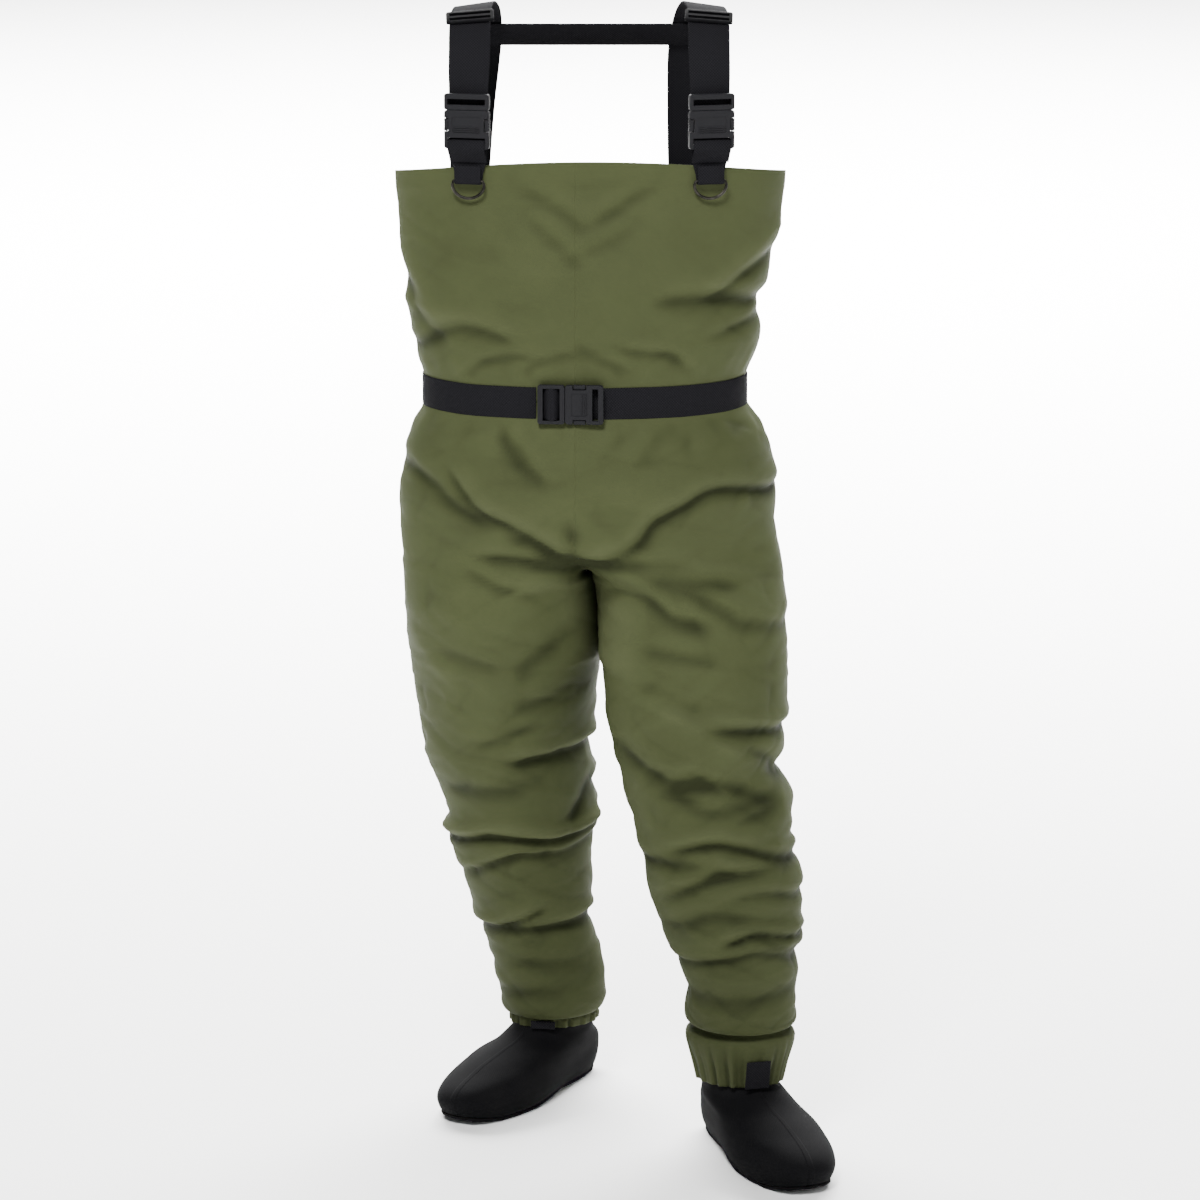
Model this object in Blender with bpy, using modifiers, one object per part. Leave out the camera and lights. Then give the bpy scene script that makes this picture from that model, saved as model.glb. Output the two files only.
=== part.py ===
"""Stocking-foot chest waders, standing as worn: a coated-fabric shell of bib, seat and legs over neoprene
feet, with elastic gravel guards, a webbing belt and buckled suspenders. Metres, +Z up, the front faces -Y.
Left and right are as seen from the front, so the left side lies at -X."""

import math
from collections import namedtuple

import bmesh
import bpy
from mathutils import Matrix, Vector

# Driving sizes
BODY_MIDDLE = Vector((-0.0303, 0.0650, 0.0))
SHELL_WALL = 0.0012
HEM_DEPTH = 0.024
HEM_STEP = 0.0012
SEAT_GAP = 0.0003
FORK_OFFSET = -0.008
FORK_DIP = 0.022
ARCH_SPREAD = 0.62
ARCH_FALL = 0.40
STRIDE = {"left": 0.135, "right": -0.118}
ANKLE_Z = 0.10

FOOT_LENGTH = 0.322
FOOT_YAW = {"left": 35.0, "right": 23.0}
NEOPRENE = 0.0035
SOLE_THICKNESS = 0.004
ARCH_RISE = 0.003
TOE_SPRING = 0.007
TOE_IN = 0.016

BELT_WIDTH = 0.037
BELT_THICKNESS = 0.0018
BUCKLE_OUT = -0.028
STRAP_WIDTH = 0.048
STRAP_THICKNESS = 0.002
STRAP_OUT = 0.139
STRAP_FOOT_Z = 1.241
STRAP_FOOT_OFF = 0.0012
STRAP_FOOT_RUN = 0.024
BUCKLE_MOUTH_UP = 0.083
BUCKLE_OFF = 0.0028
TAB_WIDTH = 0.032
TAB_TOP_WIDTH = 0.044
TAB_THICKNESS = 0.0016
TAB_BAR_Z = 1.155
RING_WIRE = 0.0036
RING_INNER = 0.035
RING_DROP = 0.020
CROSS_WIDTH = 0.034
GATHER = 0.0026
GUARD_TAB_WIDTH = 0.030
GUARD_TAB_TURN = {"left": 26.0, "right": 6.0}
GUARD_TAB_TOP = {"left": 0.8, "right": 0.58}

# How finely the faceted forms are cut
TORSO_SIDES = 36
CROTCH_POINTS = 9
FOOT_SIDES = 24
GUARD_SIDES = 26

SIDES = ("left", "right")
SIGN = {"left": -1.0, "right": 1.0}

# The torso from the fork of the legs up to the collar. Heights at the front, sides and back, reach from the
# body's middle each way, and the section's form: flat 2 with pinch 0.5 is an ellipse.
TorsoRow = namedtuple("TorsoRow", "front_z side_z back_z left right front back flat pinch")
TORSO = {
    "fork": TorsoRow(0.715, 0.694, 0.700, 0.224, 0.230, 0.128, 0.150, 2.2, 0.50),
    "crease": TorsoRow(0.757, 0.752, 0.750, 0.228, 0.220, 0.145, 0.163, 2.2, 0.50),
    "hip": TorsoRow(0.778, 0.775, 0.772, 0.229, 0.227, 0.150, 0.165, 2.2, 0.50),
    "seat": TorsoRow(0.826, 0.826, 0.826, 0.221, 0.218, 0.146, 0.156, 2.2, 0.50),
    "gather": TorsoRow(0.858, 0.858, 0.858, 0.213, 0.208, 0.139, 0.142, 2.2, 0.50),
    "waist_low": TorsoRow(0.879, 0.879, 0.879, 0.197, 0.186, 0.127, 0.128, 2.2, 0.50),
    "waist_high": TorsoRow(0.917, 0.917, 0.917, 0.197, 0.186, 0.127, 0.128, 2.2, 0.50),
    "blouse": TorsoRow(0.943, 0.943, 0.943, 0.209, 0.198, 0.136, 0.137, 2.2, 0.50),
    "roll": TorsoRow(0.972, 0.972, 0.972, 0.211, 0.207, 0.138, 0.141, 2.3, 0.50),
    "notch": TorsoRow(1.002, 1.002, 1.002, 0.219, 0.194, 0.133, 0.139, 2.4, 0.52),
    "rib": TorsoRow(1.033, 1.031, 1.024, 0.218, 0.213, 0.128, 0.134, 2.7, 0.55),
    "chest": TorsoRow(1.090, 1.082, 1.056, 0.226, 0.222, 0.114, 0.122, 3.2, 0.62),
    "bib": TorsoRow(1.138, 1.118, 1.076, 0.229, 0.230, 0.100, 0.121, 4.0, 0.70),
    "collar": TorsoRow(1.178, 1.157, 1.106, 0.230, 0.232, 0.100, 0.121, 4.0, 0.70),
}

# Each leg from the fork down to its tucked end, a row for each section or fold. Heights at the outer and
# inner side, reach of both sides from the body's middle, and half the depth from front to back.
LegRow = namedtuple("LegRow", "outer_z inner_z outer inner depth")
LEGS = {
    "left": (
        LegRow(0.640, 0.652, 0.2222, -0.0085, 0.132),
        LegRow(0.575, 0.575, 0.2200, -0.0165, 0.130),
        LegRow(0.510, 0.500, 0.2130, -0.0100, 0.122),
        LegRow(0.472, 0.470, 0.2060, -0.0080, 0.116),
        LegRow(0.440, 0.448, 0.2045, 0.0000, 0.110),
        LegRow(0.402, 0.398, 0.1940, -0.0115, 0.110),
        LegRow(0.360, 0.366, 0.1700, -0.0085, 0.103),
        LegRow(0.326, 0.342, 0.1796, -0.0164, 0.107),
        LegRow(0.310, 0.323, 0.1710, -0.0040, 0.099),
        LegRow(0.282, 0.290, 0.1610, -0.0030, 0.095),
        LegRow(0.238, 0.258, 0.1480, -0.0070, 0.090),
        LegRow(0.218, 0.226, 0.1385, 0.0005, 0.082),
        LegRow(0.195, 0.200, 0.1310, -0.0050, 0.080),
        LegRow(0.158, 0.162, 0.1200, -0.0184, 0.080),
        LegRow(0.126, 0.128, 0.1130, -0.0213, 0.080),
        LegRow(0.102, 0.106, 0.1120, -0.0215, 0.079),
        LegRow(0.093, 0.096, 0.1070, -0.0155, 0.0720),
        LegRow(0.096, 0.098, 0.1025, -0.0105, 0.0670),
    ),
    "right": (
        LegRow(0.650, 0.655, 0.2350, 0.0105, 0.134),
        LegRow(0.585, 0.580, 0.2376, 0.0135, 0.132),
        LegRow(0.526, 0.515, 0.2376, 0.0175, 0.124),
        LegRow(0.472, 0.470, 0.2297, 0.0273, 0.116),
        LegRow(0.456, 0.454, 0.2190, 0.0310, 0.110),
        LegRow(0.424, 0.430, 0.2475, 0.0375, 0.112),
        LegRow(0.386, 0.390, 0.2415, 0.0510, 0.106),
        LegRow(0.366, 0.366, 0.2410, 0.0575, 0.103),
        LegRow(0.330, 0.345, 0.2580, 0.0600, 0.106),
        LegRow(0.290, 0.300, 0.2495, 0.0730, 0.098),
        LegRow(0.260, 0.262, 0.2610, 0.0850, 0.099),
        LegRow(0.234, 0.238, 0.2465, 0.0960, 0.088),
        LegRow(0.216, 0.220, 0.2520, 0.1045, 0.088),
        LegRow(0.192, 0.200, 0.2480, 0.1150, 0.082),
        LegRow(0.172, 0.176, 0.2475, 0.1135, 0.082),
        LegRow(0.157, 0.158, 0.2505, 0.1120, 0.083),
        LegRow(0.149, 0.150, 0.2465, 0.1160, 0.078),
        LegRow(0.152, 0.153, 0.2400, 0.1230, 0.0705),
    ),
}

# The neoprene sock from the edge of its sole up to its top, in the foot's own frame: how far the loop reaches
# forward and back of the heel, its heights there, half widths at ball and heel, and how round it is.
SockRow = namedtuple("SockRow", "front_y front_z back_y back_z ball heel round lift")
SOCK = (
    SockRow(0.309, 0.0043, 0.011, 0.0043, 0.0555, 0.0365, 0.34, 1.0),
    SockRow(0.322, 0.0220, 0.002, 0.0180, 0.0650, 0.0450, 0.38, 0.6),
    SockRow(0.310, 0.0410, 0.000, 0.0350, 0.0615, 0.0455, 0.40, 0.3),
    SockRow(0.269, 0.0540, 0.002, 0.0480, 0.0560, 0.0455, 0.42, 0.0),
    SockRow(0.205, 0.0630, 0.010, 0.0580, 0.0500, 0.0455, 0.46, 0.0),
    SockRow(0.161, 0.0705, 0.018, 0.0650, 0.0465, 0.0450, 0.49, 0.0),
    SockRow(0.141, 0.0800, 0.024, 0.0730, 0.0440, 0.0445, 0.50, 0.0),
    SockRow(0.139, 0.1000, 0.027, 0.0980, 0.0440, 0.0440, 0.50, 0.0),
    SockRow(0.139, 0.1650, 0.027, 0.1650, 0.0440, 0.0440, 0.50, 0.0),
)
ANKLE_FORWARD = (SOCK[-1].front_y + SOCK[-1].back_y) / 2

# A gravel guard from inside the leg's tucked end down to its gathered hem: heights at front and back, and how
# far it stands off the sock's neck.
GuardRow = namedtuple("GuardRow", "front_z back_z off gather")
GUARDS = {
    "left": (
        GuardRow(0.110, 0.106, 0.0043, 0.0),
        GuardRow(0.097, 0.092, 0.0047, 0.0),
        GuardRow(0.091, 0.084, 0.0070, 1.0),
        GuardRow(0.083, 0.076, 0.0066, 1.0),
    ),
    "right": (
        GuardRow(0.168, 0.163, 0.0085, 0.0),
        GuardRow(0.150, 0.145, 0.0090, 0.0),
        GuardRow(0.137, 0.131, 0.0205, 0.4),
        GuardRow(0.104, 0.097, 0.0115, 1.0),
        GuardRow(0.083, 0.076, 0.0066, 1.0),
    ),
}

# A suspender strap between its buckle and the back of the bib: reach of the left and the right strap from the
# body's middle, height, and how far the inner edge is raised, in degrees.
StrapRow = namedtuple("StrapRow", "left right y z roll")
STRAP = (
    StrapRow(0.139, 0.139, -0.086, 1.303, 0.0),
    StrapRow(0.139, 0.139, -0.067, 1.329, 3.0),
    StrapRow(0.138, 0.138, -0.036, 1.347, 6.0),
    StrapRow(0.134, 0.133, 0.000, 1.352, 8.0),
    StrapRow(0.129, 0.126, 0.038, 1.340, 5.0),
    StrapRow(0.128, 0.120, 0.066, 1.314, 0.0),
    StrapRow(0.131, 0.117, 0.084, 1.280, 0.0),
    StrapRow(0.138, 0.117, 0.099, 1.220, 0.0),
    StrapRow(0.143, 0.118, 0.108, 1.160, 0.0),
)
STRAP_STEPS = 3
STRAP_BACK_OUT = {"left": 0.145, "right": 0.119}
STRAP_BACK_LOW = 0.042
CROSS_ROW = 7

COLOURS = {
    "olive_fabric": ((0.105, 0.115, 0.042), 0.75, 0.0),
    "neoprene": ((0.012, 0.012, 0.013), 0.85, 0.0),
    "webbing": ((0.014, 0.014, 0.016), 0.80, 0.0),
    "buckle_plastic": ((0.022, 0.022, 0.025), 0.45, 0.0),
    "ring_metal": ((0.050, 0.048, 0.042), 0.40, 0.9),
}

for leftover in list(bpy.data.objects):
    bpy.data.objects.remove(leftover)


# Helpers for every piece


def new_collection(name):
    collection = bpy.data.collections.new(name)
    bpy.context.scene.collection.children.link(collection)
    return collection


PARTS = new_collection("waders")
CUTTERS = new_collection("cutters")
MIDDLE = bpy.data.objects.new("body_middle", None)
MIDDLE.location = BODY_MIDDLE
PARTS.objects.link(MIDDLE)


def finish(name):
    """The material of that name, made on first use from the table of colours."""
    found = bpy.data.materials.get(name)
    if found:
        return found
    colour, roughness, metallic = COLOURS[name]
    made = bpy.data.materials.new(name)
    made.use_nodes = True
    surface = made.node_tree.nodes["Principled BSDF"]
    surface.inputs["Base Color"].default_value = (*colour, 1.0)
    surface.inputs["Roughness"].default_value = roughness
    surface.inputs["Metallic"].default_value = metallic
    return made


def place(name, data, material, matrix=None):
    """A part's object, held by the body's middle."""
    made = bpy.data.objects.new(name, data)
    data.materials.append(finish(material))
    PARTS.objects.link(made)
    made.parent = MIDDLE
    if matrix is not None:
        made.matrix_local = matrix
    return made


def mesh_of(name, points, faces, smooth=True):
    mesh = bpy.data.meshes.new(name)
    mesh.from_pydata([tuple(p) for p in points], [], faces)
    if smooth:
        mesh.shade_smooth()
    return mesh


def thicken(part, wall, offset):
    solid = part.modifiers.new("wall", "SOLIDIFY")
    solid.thickness = wall
    solid.offset = offset
    solid.use_even_offset = True
    return solid


def bands(rings, closed=True):
    """Quads between neighbouring rings of point numbers."""
    faces = []
    for lower, upper in zip(rings, rings[1:]):
        count = len(lower)
        for k in range(count if closed else count - 1):
            after = (k + 1) % count
            faces.append((lower[k], lower[after], upper[after], upper[k]))
    return faces


def smoothstep(low, high, value):
    share = min(1.0, max(0.0, (value - low) / (high - low)))
    return share * share * (3 - 2 * share)


def rounded(points, steps):
    """Points along a smooth curve through the given vectors, ends included."""
    made = []
    last = len(points) - 1
    for i in range(last):
        before, start = points[max(i - 1, 0)], points[i]
        end, after = points[i + 1], points[min(i + 2, last)]
        for step in range(steps):
            t = step / steps
            made.append(
                0.5
                * (
                    2 * start
                    + (end - before) * t
                    + (2 * before - 5 * start + 4 * end - after) * t**2
                    + (3 * start - before - 3 * end + after) * t**3
                )
            )
    made.append(points[last])
    return made


# The shell: bib, seat and two legs in one wall


def torso_point(row, angle, swell=0.0):
    """A point of a torso section. Angle -90 degrees is the front middle and 0 the right side."""
    across, along = math.cos(angle), math.sin(angle)
    reach = (row.right if across > 0 else row.left) + swell
    depth = (row.back if along > 0 else row.front) + swell
    bulge = max(0.0, 1 - abs(across) ** row.flat) ** row.pinch
    far_z = row.back_z if along > 0 else row.front_z
    height = row.side_z + (far_z - row.side_z) * abs(along) ** 1.5
    return Vector((reach * across, math.copysign(depth * bulge, along), height))


def torso_angles():
    return [math.radians(-90 + 360 * i / TORSO_SIDES) for i in range(TORSO_SIDES)]


def blend_rows(first, second, share):
    return TorsoRow(*(a + (b - a) * share for a, b in zip(first, second)))


def hem_rows():
    """The collar's doubled hem, as a step in the wall: its foot, the step and its top."""
    bib, collar = TORSO["bib"], TORSO["collar"]
    foot = blend_rows(collar, bib, HEM_DEPTH / (collar.front_z - bib.front_z))
    step = blend_rows(collar, foot, 1 - HEM_STEP / HEM_DEPTH)
    return ((foot, 0.0), (step, HEM_STEP), (collar, HEM_STEP))


def leg_middle_y(side, z):
    """How far the leg's middle stands behind the body's, upright over the heel and striding at the hip."""
    fork_z = TORSO["fork"].side_z
    share = min(1.0, max(0.0, (fork_z - z) / (fork_z - ANKLE_Z)))
    return STRIDE[side] * math.sin(share * math.pi / 2)


def leg_point(side, row, angle):
    """A point of a leg section. Angle -90 degrees is the front and 0 the outer side."""
    across, along = math.cos(angle), math.sin(angle)
    middle, half = (row.outer + row.inner) / 2, (row.outer - row.inner) / 2
    z = (row.outer_z + row.inner_z) / 2 + (row.outer_z - row.inner_z) / 2 * across
    middle_y = leg_middle_y(side, (row.outer_z + row.inner_z) / 2)
    return Vector((SIGN[side] * (middle + half * across), middle_y + row.depth * along, z))


def leg_angles():
    """The outer half of a leg carries on the torso's points, and the inner half the crotch's."""
    outer = [math.radians(-90 + 360 * k / TORSO_SIDES) for k in range(TORSO_SIDES // 2 + 1)]
    inner = [math.radians(90 + 180 * k / (CROTCH_POINTS + 1)) for k in range(1, CROTCH_POINTS + 1)]
    return outer + inner


def crotch_points():
    """The saddle between the legs, from the back to the front."""
    fork = TORSO["fork"]
    front = torso_point(fork, math.radians(-90))
    back = torso_point(fork, math.radians(90))
    made = []
    for k in range(1, CROTCH_POINTS + 1):
        share = k / (CROTCH_POINTS + 1)
        point = back.lerp(front, share)
        point.x = FORK_OFFSET
        point.z -= FORK_DIP * (1 - abs(2 * share - 1) ** 3)
        made.append(point)
    return made


def build_shell():
    points, rings = [], []

    def add_ring(ring):
        first = len(points)
        points.extend(ring)
        return list(range(first, len(points)))

    sections = [(row, 0.0) for name, row in TORSO.items() if name != "collar"]
    for row, swell in [*sections, *hem_rows()]:
        rings.append(add_ring([torso_point(row, angle, swell) for angle in torso_angles()]))
    faces = bands(rings)
    fork = rings[0]
    half = TORSO_SIDES // 2
    for ends in (0, half):
        points[fork[ends]].x = FORK_OFFSET
    saddle = add_ring(crotch_points())
    outer_half = {
        "right": [fork[k] for k in range(half + 1)],
        "left": [fork[-k] for k in range(half + 1)],
    }
    for side in SIDES:
        start = outer_half[side] + saddle
        legs = [[leg_point(side, row, angle) for angle in leg_angles()] for row in LEGS[side]]
        arch = []
        for number, below in zip(start, legs[0]):
            point = points[number].lerp(below, ARCH_SPREAD)
            point.z = points[number].z + (below.z - points[number].z) * ARCH_FALL
            arch.append(point)
        leg_rings = [start] + [add_ring(ring) for ring in [arch, *legs]]
        downward = bands(leg_rings)
        faces += [face[::-1] for face in downward] if side == "right" else downward
    shell = place("shell", mesh_of("shell", points, faces), "olive_fabric")
    thicken(shell, SHELL_WALL, -1.0)


# The neoprene feet


def ankle_of(side):
    """The middle of the leg's tucked end, where the sock's neck stands."""
    row = LEGS[side][-1]
    middle = SIGN[side] * (row.outer + row.inner) / 2
    return Vector((middle, leg_middle_y(side, (row.outer_z + row.inner_z) / 2), 0.0))


def foot_point(side, out, forward, z):
    """A point in the foot's own frame: outwards from its line, forward of the heel and up."""
    yaw = math.radians(FOOT_YAW[side])
    toe = Vector((SIGN[side] * math.sin(yaw), -math.cos(yaw), 0.0))
    outwards = Vector((SIGN[side] * math.cos(yaw), math.sin(yaw), 0.0))
    return ankle_of(side) + toe * (forward - ANKLE_FORWARD) + outwards * out + Vector((0.0, 0.0, z))


def sole_rise(forward):
    """How far the sole lifts off the floor under the arch and the toe."""
    share = forward / FOOT_LENGTH
    arch = smoothstep(0.26, 0.36, share) * (1 - smoothstep(0.44, 0.54, share))
    return ARCH_RISE * arch + TOE_SPRING * smoothstep(0.80, 1.0, share)


def sock_point(side, row, angle, off=0.0):
    """A point of a sock loop. Angle 0 is at the heel, 90 degrees at the outer side and 180 at the toe."""
    share = (1 - math.cos(angle)) / 2
    reach = row.heel + (row.ball - row.heel) * smoothstep(0.25, 0.70, share) + off
    forward = row.back_y - off + (row.front_y - row.back_y + 2 * off) * share
    half = math.copysign(reach * (math.sin(angle) ** 2) ** row.round, math.sin(angle))
    z = row.back_z + (row.front_z - row.back_z) * share + row.lift * sole_rise(forward)
    return foot_point(side, half - TOE_IN * (forward / FOOT_LENGTH) ** 2, forward, z)


def foot_angles():
    return [2 * math.pi * k / FOOT_SIDES for k in range(FOOT_SIDES)]


def wound(side, faces):
    """Faces that point out on either foot, whose loops run opposite ways round."""
    return [face[::-1] for face in faces] if side == "right" else faces


def numbered(rings):
    """Rings of points as one list, and as rings of point numbers."""
    count = len(rings[0])
    flat = [point for ring in rings for point in ring]
    return flat, [list(range(i * count, (i + 1) * count)) for i in range(len(rings))]


def build_sock(side):
    points, rings = numbered([[sock_point(side, row, a) for a in foot_angles()] for row in SOCK])
    sock = place(f"sock_upper_{side}", mesh_of("sock", points, wound(side, bands(rings))), "neoprene")
    thicken(sock, NEOPRENE, -1.0)


def build_sole(side):
    """A neoprene sole panel with a rounded lower edge, flat under heel and ball, raised at arch and toe."""
    edge = SOCK[0]._replace(front_z=0.0, back_z=0.0)
    lower, middle, upper = 0.0, SOLE_THICKNESS * 0.45, SOLE_THICKNESS
    rings = []
    for height, inset in ((lower, -0.003), (middle, 0.0), (upper, 0.0)):
        ring = [sock_point(side, edge, angle, inset) for angle in foot_angles()]
        for point in ring:
            point.z += height
        rings.append(ring)
    points, numbers = numbered(rings)
    faces = bands(numbers)
    bottom, top = numbers[0], numbers[-1]
    for k in range(FOOT_SIDES // 2):
        near, far = k + 1, (FOOT_SIDES - k) % FOOT_SIDES
        faces.append(tuple(dict.fromkeys((bottom[k], bottom[far], bottom[far - 1], bottom[near]))))
        faces.append(tuple(dict.fromkeys((top[k], top[near], top[far - 1], top[far]))))
    place(f"sole_{side}", mesh_of("sole", points, wound(side, faces)), "neoprene")


def build_guard(side):
    """The gravel guard, an elastic-hemmed sleeve between the leg's tucked end and the sock's neck."""
    neck = SOCK[-1]
    rings = []
    for row in GUARDS[side]:
        loop = neck._replace(front_z=row.front_z, back_z=row.back_z)
        ring = []
        for k in range(GUARD_SIDES):
            pleat = GATHER * row.gather * (1 if k % 2 else -1)
            ring.append(sock_point(side, loop, 2 * math.pi * k / GUARD_SIDES, row.off + pleat))
        rings.append(ring)
    points, numbers = numbered(rings[::-1])
    mesh = mesh_of("guard", points, wound(side, bands(numbers)))
    guard = place(f"gravel_guard_{side}", mesh, "olive_fabric")
    thicken(guard, SHELL_WALL, -1.0)


# Belt and buckles


def panel_frame(row, out, z, back=False, swell=0.0):
    """A frame on the torso's wall: X along it, to the right seen from the front, Y up, Z outwards."""
    reach = row.right if out > 0 else row.left
    lean = math.acos(out / reach)
    angle, step = (lean if back else -lean), math.radians(0.5)
    point = torso_point(row, angle, swell)
    along = torso_point(row, angle + step, swell) - torso_point(row, angle - step, swell)
    along.z = 0.0
    along.normalize()
    up = Vector((0.0, 0.0, 1.0))
    normal = along.cross(up)
    point.z = z
    frame = Matrix((along, up, normal)).transposed().to_4x4()
    frame.translation = point
    return frame


def build_belt():
    """Webbing round the waist, its two ends tucked behind the bars of the buckle."""
    waist = TORSO["waist_low"]
    middle_z = (TORSO["waist_low"].front_z + TORSO["waist_high"].front_z) / 2
    tuck = 0.022
    first, last = (math.acos((BUCKLE_OUT + end) / (waist.right if BUCKLE_OUT + end > 0 else waist.left))
                   for end in (tuck, -tuck - 0.012))
    inner = [a for a in torso_angles() if -first + 0.02 < a < 2 * math.pi - last - 0.02]
    angles = [-first, *inner, 2 * math.pi - last]
    rings = []
    for height in (-BELT_WIDTH / 2, BELT_WIDTH / 2):
        ring = [torso_point(waist, angle, SEAT_GAP) for angle in angles]
        for point in ring:
            point.z = middle_z + height
        rings.append(ring)
    points, numbers = numbered(rings)
    belt = place("belt_webbing", mesh_of("belt", points, bands(numbers, closed=False)), "webbing")
    thicken(belt, BELT_THICKNESS, 1.0)
    frame = panel_frame(waist, BUCKLE_OUT, middle_z)
    frame.translation += frame.to_3x3().col[2] * 0.0016
    build_buckle("belt_buckle", frame, 0.038, slots=2)


def block(low, high, bevel=0.0):
    """A box between two corners, its edges rounded if asked."""
    made = bmesh.new()
    size = Vector(high) - Vector(low)
    middle = (Vector(high) + Vector(low)) / 2
    bmesh.ops.create_cube(made, size=1.0, matrix=Matrix.Translation(middle) @ Matrix.Diagonal((*size, 1.0)))
    if bevel:
        bmesh.ops.bevel(made, geom=made.edges[:], offset=bevel, segments=1, affect="EDGES")
    mesh = bpy.data.meshes.new("block")
    made.to_mesh(mesh)
    made.free()
    return mesh


def combine(part, mesh, operation):
    """Joins a helper shape to a part, or cuts it out."""
    helper = bpy.data.objects.new(f"{part.name}_{operation.lower()}", mesh)
    CUTTERS.objects.link(helper)
    helper.parent = part
    helper.hide_render = True
    helper.display_type = "WIRE"
    boolean = part.modifiers.new(operation.lower(), "BOOLEAN")
    boolean.operation = operation
    boolean.object = helper
    boolean.solver = "EXACT"


def build_buckle(name, frame, webbing, slots=1):
    """A side-release buckle in its own frame, pulled along X: the socket right, the plug left."""
    half, depth, bevel = webbing / 2 + 0.004, 0.009, 0.0012
    bar, slot, mouth = 0.006, 0.007, 0.032
    wall = 0.0022
    socket = place(f"{name}_socket", block((0, -half, 0), (mouth + slot + bar, half, depth), bevel),
                   "buckle_plastic", frame)
    throat = block((-0.001, -webbing / 2, wall), (mouth - 0.004, webbing / 2, depth - wall))
    combine(socket, throat, "DIFFERENCE")
    webbing_slot = block((mouth, -webbing / 2, -0.001), (mouth + slot, webbing / 2, depth + 0.001))
    combine(socket, webbing_slot, "DIFFERENCE")
    for sign in (-1, 1):
        ends = sorted((sign * (half - 0.0055), sign * (half + 0.001)))
        combine(socket, block((0.009, ends[0], -0.001), (0.025, ends[1], depth + 0.001)), "DIFFERENCE")
    reach = bar + (slot + bar) * slots
    base = block((-reach, -half, 0), (-SEAT_GAP, half, depth), bevel)
    plug = place(f"{name}_plug", base, "buckle_plastic", frame)
    for k in range(slots):
        start = -reach + bar + (slot + bar) * k
        plug_slot = block((start, -webbing / 2, -0.001), (start + slot, webbing / 2, depth + 0.001))
        combine(plug, plug_slot, "DIFFERENCE")
    inner = wall + SEAT_GAP
    prongs = [(-0.004, 0.004, 0.020)]
    for sign in (-1, 1):
        near, far = sorted((sign * (webbing / 2 - 0.008), sign * (webbing / 2 - 0.002)))
        prongs.append((near, far, 0.026))
    for near, far, length in prongs:
        combine(plug, block((-0.002, near, inner), (length, far, depth - inner)), "UNION")


# Suspenders


def build_tab(side, frame):
    """The webbing tab that is sewn to the bib, loops round the bar of its ring and hangs on the socket."""
    half = TAB_THICKNESS / 2
    turn = RING_WIRE / 2 + 0.0004 + half
    face = SEAT_GAP + half
    ring_out = face + turn
    flare = ((0.058, TAB_TOP_WIDTH), (0.030, TAB_TOP_WIDTH), (0.0, TAB_WIDTH))
    profile = [(Vector((0.0, height, face)), width) for height, width in flare]
    for k in range(1, 7):
        swing = math.pi * k / 6
        bend = Vector((0.0, -turn * math.sin(swing), ring_out - turn * math.cos(swing)))
        profile.append((bend, TAB_WIDTH))
    profile.append((Vector((0.0, 0.018, ring_out + turn)), TAB_WIDTH))
    points, faces = [], []
    for point, width in profile:
        for edge in (-1, 1):
            points.append(point + Vector((edge * width / 2, 0.0, 0.0)))
    for k in range(len(profile) - 1):
        faces.append((2 * k, 2 * k + 1, 2 * k + 3, 2 * k + 2))
    tab = place(f"anchor_tab_{side}", mesh_of("tab", points, faces), "webbing", frame)
    thicken(tab, TAB_THICKNESS, 0.0)
    return ring_out


def build_ring(side, frame, out):
    """A metal D ring hanging by its straight bar in the tab's loop."""
    half = RING_INNER / 2 + RING_WIRE / 2
    route = [Vector((-half, 0.0, 0.0)), Vector((half, 0.0, 0.0))]
    turns = 9
    for k in range(turns):
        angle = -math.pi * k / (turns - 1)
        route.append(Vector((half * math.cos(angle), -0.004 + (RING_DROP - 0.004) * math.sin(angle), 0.0)))
    wire = bpy.data.curves.new(f"d_ring_{side}", "CURVE")
    wire.dimensions = "3D"
    wire.bevel_depth = RING_WIRE / 2
    wire.bevel_resolution = 1
    spline = wire.splines.new("POLY")
    spline.points.add(len(route) - 1)
    for point, place_at in zip(spline.points, route):
        point.co = (*place_at, 1.0)
    spline.use_cyclic_u = True
    place(f"d_ring_{side}", wire, "ring_metal", frame @ Matrix.Translation((0.0, 0.0, out)))


def ribbon(name, path, width, thickness, material):
    """A flat strip along pairs of middle point and width direction."""
    points, faces = [], []
    for middle, across in path:
        points += [middle - across * width / 2, middle + across * width / 2]
    for k in range(len(path) - 1):
        faces.append((2 * k, 2 * k + 1, 2 * k + 3, 2 * k + 2))
    made = place(name, mesh_of(name, points, faces), material)
    thicken(made, thickness, 0.0)
    return made


def strap_rows(side):
    """The strap's route as vectors of place and width direction, from its buckle to the back of the bib."""
    sign = SIGN[side]
    collar = TORSO["collar"]
    front = panel_frame(collar, sign * STRAP_OUT, STRAP_FOOT_Z, swell=HEM_STEP)
    foot = front.translation + front.to_3x3().col[2] * STRAP_FOOT_OFF
    places = [foot, foot + Vector((0.0, 0.001, STRAP_FOOT_RUN))]
    turns = [front.to_3x3().col[0].copy(), front.to_3x3().col[0].copy()]
    for row in STRAP:
        roll = math.radians(row.roll)
        reach = row.left if side == "left" else row.right
        places.append(Vector((sign * reach, row.y, row.z)))
        turns.append(Vector((math.cos(roll), 0.0, -sign * math.sin(roll))))
    back = panel_frame(collar, sign * STRAP_BACK_OUT[side], 0.0, back=True, swell=HEM_STEP)
    normal = back.to_3x3().col[2]
    seat = back.translation + normal * (SEAT_GAP + STRAP_THICKNESS / 2)
    for z in (collar.back_z + 0.012, collar.back_z - STRAP_BACK_LOW):
        places.append(Vector((seat.x, seat.y, z)))
        turns.append(-back.to_3x3().col[0])
    return places, turns


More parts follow.
